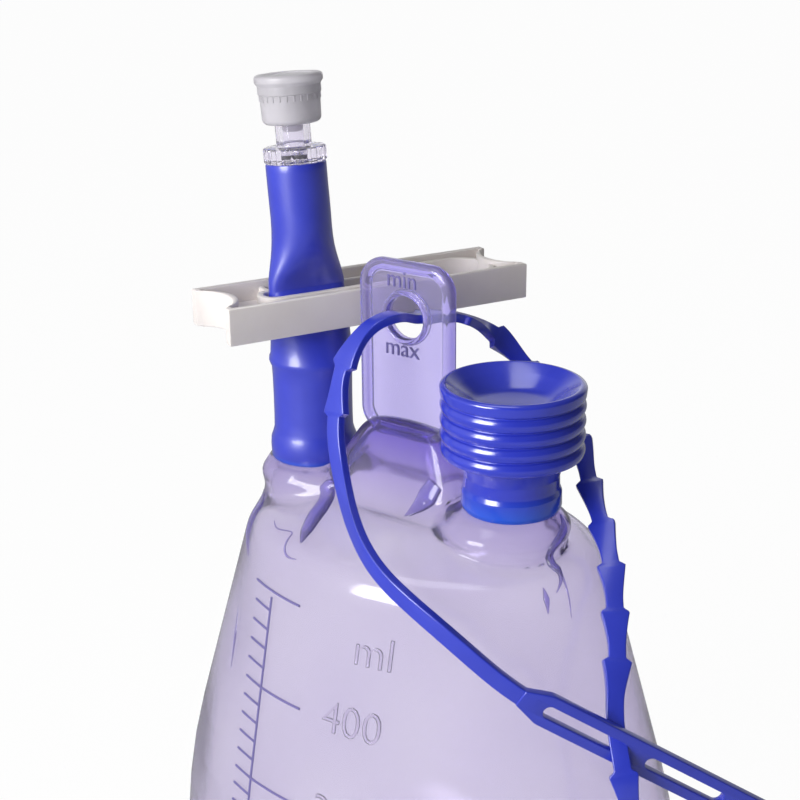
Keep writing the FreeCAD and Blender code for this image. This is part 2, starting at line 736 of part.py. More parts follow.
def toothed(size, start, end):
    """Stations of a toothed stretch: each tooth steps out at its horn and tapers away."""
    stations = []
    count = int((end - start) / size.tooth_pitch)
    for index in range(count):
        horn = start + index * size.tooth_pitch
        middle = (size.tooth_width + size.strap_width) / 2
        stations += [
            (horn, size.strap_width), (horn + size.tooth_step, size.tooth_width),
            (horn + (size.tooth_step + size.tooth_length) / 2, middle),
            (horn + size.tooth_length, size.strap_width)]
    return stations


def plain(size, start, end, step):
    """Even stations of the plain band, both ends included."""
    count = max(1, int(round((end - start) / step)))
    return [(start + (end - start) * index / count, size.strap_width) for index in range(count + 1)]


def ladder_plate(size, root):
    """Flat ladder end along +X, with its open slots; the band joins it before the root."""
    slot_pitch = size.ladder_slot_length + size.ladder_rung
    length = root + size.ladder_slot_count * slot_pitch
    band_half = size.strap_width / 2
    plate_half = size.ladder_width / 2
    outline = rounded_outline([
        (root - size.ladder_taper, -band_half), (root, -plate_half), (length, -plate_half, 2.5),
        (length, plate_half, 2.5), (root, plate_half), (root - size.ladder_taper, band_half)])
    plate = Part.Face(Part.Wire([piece.toShape() for piece in outline]))
    plate.translate(VEC(0, 0, -size.strap_thickness / 2))
    plate = plate.extrude(VEC(0, 0, size.strap_thickness))
    for index in range(int(size.ladder_slot_count)):
        middle = root + size.ladder_slot_length / 2 + index * slot_pitch
        opening = slot_outline(size.ladder_slot_length, size.ladder_slot_width, middle)
        cut = Part.Face(Part.Wire([piece.toShape() for piece in opening]))
        cut.translate(VEC(0, 0, -size.strap_thickness))
        plate = plate.cut(cut.extrude(VEC(0, 0, 2 * size.strap_thickness)))
    return plate


def make_strap(size):
    """Toothed hanging strap: through the lug's hole and back through its own ladder."""
    hole = hole_centre(size)
    start = hole + VEC(*LADDER_START)
    along = (hole + VEC(*LADDER_AIM) - start).normalize()
    toward_viewer = VEC(0.59, -0.81, 0)
    out = toward_viewer - along * toward_viewer.dot(along)
    out.normalize()
    across = along.cross(out).normalize()
    root = size.ladder_taper + 1.0
    plate = ladder_plate(size, root)
    plate.Placement = FreeCAD.Placement(start, FreeCAD.Rotation(along, out.cross(along), out, "XZY"))

    crossing = start + along * (root + size.ladder_slot_length * SLOT_SHARE)
    points = [start + along, start] + from_hole(size, FRONT_RUN[::-1]) + [hole]
    points += from_hole(size, TAIL_RUN)
    points += [crossing + out * step + UP * rise for step, rise in CROSSING_RUN]
    curve = Part.BSplineCurve()
    curve.interpolate(points)
    total = curve.length()
    first = curve.FirstParameter
    at_hole = curve.length(first, curve.parameter(hole))
    at_crossing = curve.length(first, curve.parameter(crossing))

    teeth_start = at_hole - FRONT_TEETH * size.tooth_pitch - 2.5
    stations = plain(size, 0.0, teeth_start - 2.0, 3.5)
    stations += toothed(size, teeth_start, at_hole)
    stations += plain(size, at_hole - 2.0, at_hole + 2.0, 2.0)
    stations += toothed(size, at_hole + 3.5, at_crossing - 5.0)
    stations += plain(size, at_crossing - 4.5, at_crossing + 4.5, 1.5)
    stations += toothed(size, at_crossing + 6.0, total - 2.0)
    stations += [(total, size.strap_width)]
    faces = [
        (0.0, out), (at_hole * 0.45, VEC(0.15, -0.97, -0.18)), (at_hole * 0.72, VEC(-0.17, -0.95, 0.23)),
        (at_hole * 0.92, VEC(-0.03, -0.73, 0.68)), (at_hole, UP), (at_crossing - 14.0, UP),
        (at_crossing - 3.0, across * -1), (at_crossing + 3.0, across * -1),
        (at_crossing + 10.0, toward_viewer), (total, toward_viewer)]
    band = strap_band(curve, stations, faces, size.strap_thickness)
    return band.fuse(plate).removeSplitter()


class Sheet:
    """Reads the driving dimensions by name."""

    def __init__(self, sheet):
        self.sheet = sheet

    def __getattr__(self, name):
        return float(self.sheet.get(name))


def add_shape(doc, name, shape):
    """Add a ready shape as an object of the document."""
    feature = doc.addObject("Part::Feature", name)
    feature.Shape = shape
    return feature


def main():
    """Build every piece, test it and write one file for each."""
    doc = FreeCAD.newDocument("wound_drainage")
    size = Sheet(fill_sheet(doc))
    parts = [
        add_shape(doc, "bottle", make_bottle(size)),
        add_shape(doc, "inlet_sleeve", make_inlet_sleeve(size)),
        make_clamp(doc, size),
        make_connector(doc, size),
        make_cap(doc, size),
        make_bellows(doc, size),
        add_shape(doc, "hanging_strap", make_strap(size)),
    ]
    doc.recompute()
    for thing in doc.Objects:
        if "Invalid" in thing.State or "Error" in thing.State:
            raise RuntimeError("%s failed: %s" % (thing.Name, thing.State))
    os.makedirs("parts", exist_ok=True)
    for piece in parts:
        piece.Label = piece.Name
        shape = piece.Shape
        if shape.isNull() or not shape.isValid() or len(shape.Solids) != 1:
            raise RuntimeError("%s has a bad shape" % piece.Name)
        box = shape.BoundBox
        print("%-16s %9.1f mm3  x %.1f..%.1f  y %.1f..%.1f  z %.1f..%.1f" % (
            piece.Name, shape.Volume, box.XMin, box.XMax, box.YMin, box.YMax, box.ZMin, box.ZMax))
        shape.exportStep("parts/%s.step" % piece.Name)


main()
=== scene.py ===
"""Looks of a closed wound drainage system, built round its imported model.

Lengths are millimetres unless a name says otherwise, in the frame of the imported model:
+Z up, the origin at the centre of the base, +X from the inlet neck to the bellows neck,
and -Y the broad face with the volume scale.
"""

import logging
import math
from dataclasses import dataclass
from enum import Enum
from typing import Callable, Sequence

import bmesh
import bpy
import numpy as np
from mathutils import Matrix, Vector


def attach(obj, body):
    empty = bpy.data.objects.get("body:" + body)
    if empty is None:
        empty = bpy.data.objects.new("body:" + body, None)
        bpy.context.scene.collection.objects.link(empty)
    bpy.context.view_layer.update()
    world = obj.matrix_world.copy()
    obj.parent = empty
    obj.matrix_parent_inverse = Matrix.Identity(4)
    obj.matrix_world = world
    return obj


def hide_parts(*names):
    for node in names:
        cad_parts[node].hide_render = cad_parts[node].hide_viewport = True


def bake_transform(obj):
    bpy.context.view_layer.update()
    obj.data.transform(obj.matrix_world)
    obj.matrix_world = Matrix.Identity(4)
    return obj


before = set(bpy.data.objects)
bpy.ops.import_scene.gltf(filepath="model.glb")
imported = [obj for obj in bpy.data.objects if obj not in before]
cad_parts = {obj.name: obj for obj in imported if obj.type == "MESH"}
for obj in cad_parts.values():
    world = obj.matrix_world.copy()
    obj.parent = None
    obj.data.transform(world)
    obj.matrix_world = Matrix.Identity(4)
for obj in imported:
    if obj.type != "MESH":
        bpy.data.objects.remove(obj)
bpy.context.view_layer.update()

LOG = logging.getLogger("wound_drainage")
MM = 0.001


class Body(Enum):
    """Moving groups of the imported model."""

    BOTTLE = "bottle_body"
    CLAMP = "clamp"
    CAP = "cap"
    INDICATOR = "vacuum_indicator"


def hex_colour(code: str) -> tuple[float, float, float, float]:
    """Turn an sRGB hex value into linear colour.

    Args:
        code: Six hex digits with a leading hash.

    Returns:
        Red, green, blue and an alpha of one.
    """
    parts = [int(code[place:place + 2], 16) / 255 for place in (1, 3, 5)]
    linear = [v / 12.92 if v <= 0.04045 else ((v + 0.055) / 1.055) ** 2.4 for v in parts]
    return (*linear, 1.0)


def fill(tree: bpy.types.NodeTree, node: bpy.types.Node, inputs: dict) -> None:
    """Fill a node's inputs, named or numbered, with values or with links from output sockets."""
    for name, value in inputs.items():
        if isinstance(value, bpy.types.NodeSocket):
            tree.links.new(value, node.inputs[name])
        else:
            node.inputs[name].default_value = value


def add_node(tree: bpy.types.NodeTree, kind: str, inputs: dict | None = None,
             **settings: object) -> bpy.types.Node:
    """Add a node, set its properties, and fill or link its inputs.

    Args:
        tree: The node tree that takes the node.
        kind: The node's type name.
        inputs: Values or output sockets, by input name or number.
        **settings: Properties of the node itself.

    Returns:
        The new node.
    """
    node = tree.nodes.new(kind)
    for name, value in settings.items():
        setattr(node, name, value)
    fill(tree, node, inputs or {})
    return node


def new_material(name: str) -> tuple[bpy.types.Material, bpy.types.NodeTree, bpy.types.Node]:
    """Make a material, and hand it back with its node tree and its surface shader."""
    material = bpy.data.materials.new(name)
    material.use_nodes = True
    return material, material.node_tree, material.node_tree.nodes["Principled BSDF"]


def clouded(tree: bpy.types.NodeTree, size_mm: float, detail: float, shade: str,
            body: str) -> bpy.types.NodeSocket:
    """Colour that drifts between two hex values in soft clouds of a size."""
    place = add_node(tree, "ShaderNodeTexCoord").outputs["Object"]
    cloud = add_node(tree, "ShaderNodeTexNoise", {
        "Vector": place, "Scale": 1 / (size_mm * MM), "Detail": detail})
    return add_node(tree, "ShaderNodeMix", {
        0: cloud.outputs["Fac"], 6: hex_colour(shade), 7: hex_colour(body)},
        data_type="RGBA").outputs[2]


def make_uneven(tree: bpy.types.NodeTree, shader: bpy.types.Node, size_mm: float, detail: float,
                strength: float, depth_mm: float) -> None:
    """Give a surface the faint unevenness of its moulding, of a size and a depth."""
    place = add_node(tree, "ShaderNodeTexCoord").outputs["Object"]
    noise = add_node(tree, "ShaderNodeTexNoise", {
        "Vector": place, "Scale": 1 / (size_mm * MM), "Detail": detail})
    bump = add_node(tree, "ShaderNodeBump", {
        "Height": noise.outputs["Fac"], "Strength": strength, "Distance": depth_mm * MM})
    fill(tree, shader, {"Normal": bump.outputs["Normal"]})


def linked(name: str, data: bpy.types.ID) -> bpy.types.Object:
    """Make an object of some data and link it to the scene."""
    made = bpy.data.objects.new(name, data)
    bpy.context.scene.collection.objects.link(made)
    return made


def unit_rows(rows: np.ndarray) -> np.ndarray:
    """Scale each row to a length of one."""
    return rows / np.linalg.norm(rows, axis=1)[:, None]


def arc(centre: float, radius: float, start: float, end: float,
        count: int) -> list[tuple[float, float]]:
    """Points from one angle to another, about a place on the X axis."""
    return [(centre + radius * math.cos(a), radius * math.sin(a))
            for a in np.linspace(start, end, count)]


def mesh_object(name: str, points: np.ndarray, faces: Sequence[Sequence[int]],
                crease: float = 40.0, turn_outwards: bool = True) -> bpy.types.Object:
    """Make a mesh object at the origin with outward faces.

    Args:
        name: The piece's name.
        points: Vertices in millimetres.
        faces: Vertex numbers of each face.
        crease: Edges sharper than this many degrees stay sharp.
        turn_outwards: Off for a hollow piece, whose inner wall already faces its hollow.

    Returns:
        The linked object.
    """
    mesh = bpy.data.meshes.new(name)
    mesh.from_pydata((np.asarray(points, float) * MM).tolist(), [],
                     [tuple(map(int, face)) for face in faces])
    made = linked(name, mesh)
    settle(made, crease, turn_outwards)
    return made


def settle(made: bpy.types.Object, crease: float = 40.0, turn_outwards: bool = True) -> None:
    """Merge doubles, turn faces outwards and shade smooth between sharp edges."""
    work = bmesh.new()
    work.from_mesh(made.data)
    bmesh.ops.remove_doubles(work, verts=work.verts, dist=1e-7)
    if turn_outwards:
        bmesh.ops.recalc_face_normals(work, faces=work.faces)
    for face in work.faces:
        face.smooth = True
    limit = math.radians(crease)
    for edge in work.edges:
        edge.smooth = len(edge.link_faces) != 2 or edge.calc_face_angle(0.0) < limit
    work.to_mesh(made.data)
    work.free()


def joined(name: str, things: Sequence[bpy.types.Object]) -> bpy.types.Object:
    """Join several mesh objects into one, which takes the name."""
    work = bmesh.new()
    for thing in things:
        work.from_mesh(thing.data)
    mesh = bpy.data.meshes.new(name)
    work.to_mesh(mesh)
    work.free()
    for thing in things:
        bpy.data.objects.remove(thing)
    return linked(name, mesh)


def dress(piece: bpy.types.Object, material: bpy.types.Material, slot: str, body: Body,
          *nodes: str) -> None:
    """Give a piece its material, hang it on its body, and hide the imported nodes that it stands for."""
    piece.data.materials.clear()
    piece.data.materials.append(material)
    if nodes:
        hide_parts(*nodes)
    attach(piece, body.value)
    LOG.info("%s: %d faces on %s", piece.name, len(piece.data.polygons), body.value)


def skin_rows(rows: Sequence[np.ndarray]) -> tuple[np.ndarray, list[list[int]]]:
    """Join rings of equal count into one skin, closed by a fan at its first and last ring.

    Args:
        rows: Rings of points, each an array of shape (count, 3).

    Returns:
        The points and faces.
    """
    count = len(rows[0])
    points = np.concatenate([*rows, [rows[0].mean(0)], [rows[-1].mean(0)]])
    faces = []
    for level in range(len(rows) - 1):
        low, high = level * count, (level + 1) * count
        for step in range(count):
            after = (step + 1) % count
            faces.append([low + step, low + after, high + after, high + step])
    first, last, top = len(points) - 2, len(points) - 1, (len(rows) - 1) * count
    for step in range(count):
        after = (step + 1) % count
        faces.append([after, step, first])
        faces.append([top + step, top + after, last])
    return points, faces


def rounded_corners(corners: Sequence[tuple[float, ...]], step: float = 9.0,
                    closed: bool = True) -> np.ndarray:
    """Round the corners of an outline by true arcs.

    Args:
        corners: Points (x, y) or (x, y, radius).
        step: Degrees between points along an arc.
        closed: Whether the last corner joins the first.

    Returns:
        Points of the rounded outline, in order.
    """
    count, points = len(corners), []
    for index, corner in enumerate(corners):
        here = np.array(corner[:2], float)
        radius = corner[2] if len(corner) > 2 else 0.0
        if radius <= 0 or (not closed and index in (0, count - 1)):
            points.append(here)
            continue
        inward = np.array(corners[index - 1][:2], float) - here
        outward = np.array(corners[(index + 1) % count][:2], float) - here
        inward /= np.linalg.norm(inward)
        outward /= np.linalg.norm(outward)
        half = math.acos(max(-1.0, min(1.0, float(inward @ outward)))) / 2
        if half > math.pi / 2 - 1e-3:
            points.append(here)
            continue
        middle = (inward + outward) / np.linalg.norm(inward + outward)
        centre = here + middle * radius / math.sin(half)
        start = here + inward * radius / math.tan(half) - centre
        turn = math.pi - 2 * half
        sign = -math.copysign(1.0, inward[0] * outward[1] - inward[1] * outward[0])
        parts = max(2, int(math.degrees(turn) / step) + 1)
        for part in range(parts + 1):
            angle = sign * turn * part / parts
            points.append(centre + np.array([
                start[0] * math.cos(angle) - start[1] * math.sin(angle),
                start[0] * math.sin(angle) + start[1] * math.cos(angle)]))
    return np.array(points)


def lathe(name: str, profile: np.ndarray, sides: int,
          shape: Callable | None = None) -> bpy.types.Object:
    """Turn a profile about Z into a closed piece; a profile that leaves the axis closes on itself.

    Args:
        name: The piece's name.
        profile: Points (radius, height) in order.
        sides: Points around the axis.
        shape: Optional rule that takes radii, heights and angles and returns new radii.

    Returns:
        The linked object.
    """
    angles = np.arange(sides) * 2 * math.pi / sides
    loop = np.allclose(profile[0], profile[-1])
    rows = []
    for radius, height in profile:
        radii = np.full(sides, float(radius))
        if shape is not None:
            radii = shape(radii, height, angles)
        level = np.full(sides, height)
        rows.append(np.stack([radii * np.cos(angles), radii * np.sin(angles), level], 1))
    points, faces = skin_rows(rows)
    if loop:
        faces = faces[:-2 * sides]
        points = points[:-2]
    return mesh_object(name, points, faces)


def plate(name: str, outlines: Sequence[np.ndarray], low: float, high: float,
          edge: float) -> bpy.types.Object:
    """Extrude flat outlines, holes included, into a plate with rounded edges.

    Args:
        name: The piece's name.
        outlines: Closed outlines in X and Y; those inside another are holes.
        low: Height of the underside.
        high: Height of the top.
        edge: Radius of the edges.

    Returns:
        The linked object.
    """
    curve = bpy.data.curves.new(name, "CURVE")
    curve.dimensions = "2D"
    curve.fill_mode = "BOTH"
    curve.extrude = ((high - low) / 2 - edge) * MM
    curve.bevel_depth = edge * MM
    curve.bevel_resolution = 2
    curve.offset = -edge * MM
    for outline in outlines:
        spline = curve.splines.new("POLY")
        spline.points.add(len(outline) - 1)
        for point, (x, y) in zip(spline.points, outline):
            point.co = (x * MM, y * MM, 0, 1)
        spline.use_cyclic_u = True
    holder = linked(name, curve)
    bpy.context.view_layer.update()
    evaluated = holder.evaluated_get(bpy.context.evaluated_depsgraph_get())
    mesh = bpy.data.meshes.new_from_object(evaluated)
    bpy.data.objects.remove(holder)
    mesh.transform(Matrix.Translation((0, 0, (low + high) / 2 * MM)))
    made = linked(name, mesh)
    settle(made, 35.0)
    return made


def slot_outline(length: float, width: float, centre: float = 0.0, parts: int = 14) -> np.ndarray:
    """Outline with two straight sides along X and two half-round ends."""
    run, half, points = (length - width) / 2, width / 2, []
    for side, start in ((1, -90), (-1, 90)):
        for part in range(parts + 1):
            angle = math.radians(start + 180 * part / parts)
            points.append((centre + side * run + half * math.cos(angle), half * math.sin(angle)))
    return np.array(points)


def plain_mesh(holder: bpy.types.Object, name: str) -> bpy.types.Object:
    """Turn an object with live modifiers into a plain mesh object and remove the first."""
    evaluated = holder.evaluated_get(bpy.context.evaluated_depsgraph_get())
    mesh = bpy.data.meshes.new_from_object(evaluated)
    bpy.data.objects.remove(holder)
    made = linked(name, mesh)
    settle(made)
    return made


@dataclass(frozen=True)
class SoftBlue:
    """Soft PVC, injection moulded.

    It gives the eye a royal blue with a wet gloss; near a set height it is painted azure, a painted glow of
    light shining through the thin wall there.
    """

    name: str = "plasticised_pvc_moulded_blue"
    body: str = "#3140CE"
    deep: str = "#2733BC"
    # Painted glow: the azure of light shining through the thin wall near edge_z.
    thin: str = "#1458E0"
    roughness: float = 0.42
    coat: float = 0.8
    edge_z: float = 0.0
    edge_reach: float = 0.0
    mottle_mm: float = 6.0

    def build(self) -> bpy.types.Material:
        """Build the material; where edge_reach is set, heights near edge_z take the thin colour, a painted
        glow of light shining through the thin wall.
        """
        material, tree, shader = new_material(self.name)
        colour = clouded(tree, self.mottle_mm, 2.0, self.deep, self.body)
        if self.edge_reach:
            # Painted glow of light through the thin wall: azure mixed in near edge_z.
            place = add_node(tree, "ShaderNodeTexCoord").outputs["Object"]
            split = add_node(tree, "ShaderNodeSeparateXYZ", {"Vector": place})
            near = add_node(tree, "ShaderNodeMapRange", {
                "Value": split.outputs["Z"], "From Min": self.edge_z * MM,
                "From Max": (self.edge_z + self.edge_reach) * MM, "To Min": 1.0, "To Max": 0.0})
            colour = add_node(tree, "ShaderNodeMix", {
                0: near.outputs["Result"], 6: colour, 7: hex_colour(self.thin)},
                data_type="RGBA").outputs[2]
        make_uneven(tree, shader, 1.2, 3.0, 0.05, 0.1)
        fill(tree, shader, {
            "Base Color": colour, "Roughness": self.roughness, "IOR": 1.5,
            "Specular IOR Level": 0.9, "Coat Weight": self.coat, "Coat Roughness": 0.18})
        return material


@dataclass(frozen=True)
class ClearPVC:
    """Clear PVC, blow moulded.

    It gives the eye a pale lilac where it is thin, and a deeper purple where light runs a
    long way through it.
    """

    name: str = "clear_pvc_blow_moulded"
    surface: str = "#F6F3FC"
    deep: str = ""
    absorbed: tuple[float, float, float] = (112.0, 136.0, 56.0)
    clearness: float = 0.91
    roughness: float = 0.13
    ripple_mm: float = 9.0
    ripple_depth_mm: float = 0.12

    def build(self) -> bpy.types.Material:
        """Build the material with a volume that absorbs the stated amount per metre."""
        material, tree, shader = new_material(self.name)
        fill(tree, shader, {
            "Base Color": hex_colour(self.surface), "Transmission Weight": self.clearness,
            "Roughness": self.roughness, "IOR": 1.46})
        if self.deep:
            share = add_node(tree, "ShaderNodeAttribute", attribute_name="moulded")
            colour = add_node(tree, "ShaderNodeMix", {
                0: share.outputs["Fac"], 6: hex_colour(self.surface), 7: hex_colour(self.deep)},
                data_type="RGBA")
            fill(tree, shader, {"Base Color": colour.outputs[2]})
        make_uneven(tree, shader, self.ripple_mm, 1.0, 0.5, self.ripple_depth_mm)
        density = max(self.absorbed) * 1.05
        volume = add_node(tree, "ShaderNodeVolumeAbsorption", {
            "Color": (*[1 - share / density for share in self.absorbed], 1.0), "Density": density})
        tree.links.new(volume.outputs[0], tree.nodes["Material Output"].inputs["Volume"])
        return material


@dataclass(frozen=True)
class Satin:
    """Polypropylene or polyethylene, injection moulded.

    It gives the eye a pale, waxy body with soft highlights, a little translucent at its edges.
    """

    name: str
    body: str
    shade: str
    roughness: float = 0.42
    scatter: float = 0.15
    scatter_mm: float = 1.5
    clearness: float = 0.0

    def build(self) -> bpy.types.Material:
        """Build the material with faint clouding and a fine moulded grain."""
        material, tree, shader = new_material(self.name)
        make_uneven(tree, shader, 0.5, 2.0, 0.12, 0.05)
        fill(tree, shader, {
            "Base Color": clouded(tree, 8.0, 3.0, self.shade, self.body),
            "Roughness": self.roughness, "Transmission Weight": self.clearness, "IOR": 1.49,
            "Subsurface Weight": self.scatter, "Subsurface Scale": self.scatter_mm * MM,
            "Subsurface Radius": (1.0, 1.0, 1.0)})
        return material


class ProfileField:
    """Signed distance to a closed outline of radii and heights, kept in a fine table."""

    def __init__(self, corners: Sequence[tuple[float, ...]], pitch: float = 0.35,
                 margin: float = 9.0) -> None:
        """Measure the outline; its mirror image in the axis closes it."""
        half = rounded_corners(corners, 5.0, closed=False)
        outline = np.concatenate([half, half[::-1] * (-1, 1)])
        self.pitch = pitch
        self.low = np.array([0.0, half[:, 1].min() - margin])
        size = np.array([half[:, 0].max() + margin, half[:, 1].max() + margin]) - self.low
        across, along = (int(v / pitch) + 2 for v in size)
        r, z = np.meshgrid(self.low[0] + np.arange(across) * pitch,
                           self.low[1] + np.arange(along) * pitch, indexing="ij")
        nearest, inside = np.full(r.shape, 1e9), np.zeros(r.shape, bool)
        for start, end in zip(outline, np.roll(outline, -1, 0)):
            way = end - start
            length = float(way @ way)
            if length < 1e-12:
                continue
            share = np.clip(((r - start[0]) * way[0] + (z - start[1]) * way[1]) / length, 0, 1)
            gap = np.hypot(r - start[0] - share * way[0], z - start[1] - share * way[1])
            nearest = np.minimum(nearest, gap)
            if start[1] != end[1]:
                crosses = (start[1] > z) != (end[1] > z)
                inside ^= crosses & (r < start[0] + (z - start[1]) * way[0] / way[1])
        self.table = np.where(inside, -nearest, nearest)

    def __call__(self, radius: np.ndarray, height: np.ndarray) -> np.ndarray:
        """Distance at each radius and height, read between the table's points."""
        u = np.clip((radius - self.low[0]) / self.pitch, 0, self.table.shape[0] - 1.001)
        v = np.clip((height - self.low[1]) / self.pitch, 0, self.table.shape[1] - 1.001)
        i, j = u.astype(int), v.astype(int)
        a, b = u - i, v - j
        table = self.table
        return ((table[i, j] * (1 - b) + table[i, j + 1] * b) * (1 - a)
                + (table[i + 1, j] * (1 - b) + table[i + 1, j + 1] * b) * a)


def melt(first: np.ndarray, second: np.ndarray, reach: float) -> np.ndarray:
    """Join two distances with a fillet of the reach, as molten walls flow together."""
    overlap = np.maximum(reach - np.abs(first - second), 0) / reach
    return np.minimum(first, second) - overlap * overlap * reach / 4


def skin_of(distance: Callable[[np.ndarray], np.ndarray], low: Sequence[float], high: Sequence[float],
            pitch: float) -> tuple[np.ndarray, np.ndarray]:
    """Draw a closed quad skin where a distance is zero.

    Args:
        distance: Rule that gives the signed distance of points.
        low: Lowest corner of the space searched.
        high: Highest corner.
        pitch: Side of a search cell.

    Returns:
        Points that lie on the surface, and faces of four that look outwards.
    """
    counts = [int(math.ceil((b - a) / pitch)) + 1 for a, b in zip(low, high)]
    axes = [a + np.arange(n) * pitch for a, n in zip(low, counts)]
    values = np.empty(counts)
    for index, x in enumerate(axes[0]):
        slab = np.stack(np.meshgrid([x], axes[1], axes[2], indexing="ij"), -1)[0]
        values[index] = distance(slab)
    inside = values < 0
    corners = [(a, b, c) for a in (0, 1) for b in (0, 1) for c in (0, 1)]
    window = [slice(0, n - 1) for n in counts]

    def shifted(grid: np.ndarray, step: tuple[int, int, int]) -> np.ndarray:
        """The grid as seen from one corner of every cell."""
        return grid[tuple(slice(s, n - 1 + s) for s, n in zip(step, counts))]

    total = sum(shifted(inside, corner).astype(np.int8) for corner in corners)
    mixed = (total > 0) & (total < 8)
    numbers = np.full([n - 1 for n in counts], -1)
    numbers[mixed] = np.arange(mixed.sum())
    cells = np.argwhere(mixed)
    place, crossings = np.zeros((len(cells), 3)), np.zeros(len(cells))
    for first in corners:
        for axis in range(3):
            if first[axis]:
                continue
            second = tuple(v + (1 if k == axis else 0) for k, v in enumerate(first))
            one = values[tuple((cells + first).T)]
            two = values[tuple((cells + second).T)]
            crosses = (one < 0) != (two < 0)
            share = np.where(crosses, one / np.where(crosses, one - two, 1.0), 0)
            step = np.array(first, float)[None] + share[:, None] * np.eye(3)[axis]
            place += np.where(crosses[:, None], step, 0)
            crossings += crosses
    points = np.array(low) + (cells + place / crossings[:, None]) * pitch
    faces = []
    for axis in range(3):
        u, v = (axis + 1) % 3, (axis + 2) % 3
        ahead = np.roll(inside, -1, axis)
        edge = inside != ahead
        keep = [slice(1, n - 1) for n in counts]
        keep[axis] = slice(0, counts[axis] - 1)
        mask = np.zeros(counts, bool)
        mask[tuple(keep)] = edge[tuple(keep)]
        at = np.argwhere(mask)
        back_u, back_v = np.eye(3, dtype=int)[u], np.eye(3, dtype=int)[v]
        stay = np.zeros(3, int)
        quad = np.stack([numbers[tuple((at - a - b).T)] for a, b in (
            (back_u, back_v), (stay, back_v), (stay, stay), (back_u, stay))], 1)
        leaving = inside[tuple(at.T)]
        quad[~leaving] = quad[~leaving][:, ::-1]
        faces.append(quad)
    faces = np.concatenate(faces)
    ends = np.concatenate([faces[:, (step, (step + 1) % 4)] for step in range(4)])
    ends = np.concatenate([ends, ends[:, ::-1]])
    links = np.bincount(ends[:, 0], minlength=len(points))
    for _ in range(3):
        around = np.stack([np.bincount(ends[:, 0], points[ends[:, 1], axis], len(points))
                           for axis in range(3)], 1)
        points = settled_on(distance, around / links[:, None], 1)
    return settled_on(distance, points, 1), faces


def slope_of(distance: Callable[[np.ndarray], np.ndarray], points: np.ndarray) -> np.ndarray:
    """Outward slope of a distance at each point."""
    return np.stack([(distance(points + h) - distance(points - h)) / 0.2 for h in np.eye(3) * 0.1], 1)


def settled_on(distance: Callable[[np.ndarray], np.ndarray], points: np.ndarray,
               rounds: int) -> np.ndarray:
    """Move points straight onto the surface where the distance is zero."""
    for _ in range(rounds):
        slope = slope_of(distance, points)
        points = points - slope * (distance(points) / np.maximum((slope ** 2).sum(1), 0.2))[:, None]
    return points


def fin(name: str, path: np.ndarray, outward: np.ndarray, widths: Sequence[float],
        flat: float) -> bpy.types.Object:
    """Sweep a flattened round section along a path that lies on a wall.

    Args:
        name: The piece's name.
        path: Close points on the wall.
        outward: The wall's outward slope at each point.
        widths: Half widths, evenly spaced along the path.
        flat: Height of the section as a share of its width.

    Returns:
        The linked object, half sunk in the wall.
    """
    sizes = np.interp(np.linspace(0, len(widths) - 1, len(path)), np.arange(len(widths)), widths)
    way = np.gradient(path, axis=0)
    side = unit_rows(np.cross(way, outward))
    rise = np.cross(side, way)
    rise *= flat / np.linalg.norm(rise, axis=1)[:, None]
    angles = np.arange(14)[:, None] * math.pi / 7
    rows = [here + size * (np.cos(angles) * across + np.sin(angles) * high)
            for here, size, across, high in zip(path, sizes, side, rise)]
    return mesh_object(name, *skin_rows(rows))


# Pinched pleats and flash of the moulding: routes over the wall, half widths along them,
# and how high they stand.
PLEATS = [
    ([(-20.2, 1.0, 103.0), (-17.6, -7.0, 101.8), (-15.6, -14.0, 100.3), (-13.7, -19.6, 98.6),
      (-12.4, -22.8, 97.6)], (0.6, 1.6, 2.0, 1.4, 0.3), 0.45),
    ([(6.6, -4.2, 108.4), (5.4, -5.8, 106.0), (4.0, -7.0, 104.0), (2.0, -8.2, 101.2)],
     (1.9, 2.3, 1.5, 0.15), 0.3),
    ([(29.9, 3.6, 105.2), (32.3, 0.5, 103.6), (33.0, -3.0, 102.0), (34.2, -4.6, 99.0),
      (35.1, -5.2, 97.5), (36.3, -8.6, 95.4)], (0.3, 0.9, 1.0, 0.9, 0.5, 0.1), 0.7),
    ([(33.2, -3.4, 101.5), (34.8, -4.6, 98.4), (37.0, -6.2, 95.9), (38.9, -7.5, 90.7)],
     (0.3, 0.3, 0.2, 0.08), 0.8),
    ([(34.7, -10.3, 96.9), (35.4, -10.8, 94.8), (36.1, -11.4, 92.4)], (0.12, 0.65, 0.12), 0.7),
    ([(-23.5, -18.0, 97.9), (-19.8, -20.4, 97.7), (-16.4, -20.9, 98.1), (-15.9, -23.4, 97.3),
      (-14.2, -25.4, 95.8), (-11.1, -26.1, 96.0)], (0.1, 0.2, 0.16, 0.26, 0.26, 0.1), 0.6),
    ([(-35.0, -7.0, 98.0), (-33.1, -12.6, 97.0), (-30.8, -17.3, 93.4), (-28.2, -21.0, 90.1)],
     (0.3, 1.5, 1.3, 0.2), 0.3),
    ([(-29.6, -23.8, 79.4), (-28.9, -25.6, 73.7), (-28.7, -27.3, 67.4)], (0.12, 0.6, 0.12), 0.4),
]
# Heights of the long marks, and each number's text and middle (across, height).
SCALE_LEVELS = (88.2, 69.0, 50.5, 33.0, 16.0)
NUMBERS = (("ml", 10.2, 83.8), ("400", 7.2, 69.6), ("300", 7.2, 51.2), ("200", 7.2, 33.7),
           ("100", 7.2, 16.7))


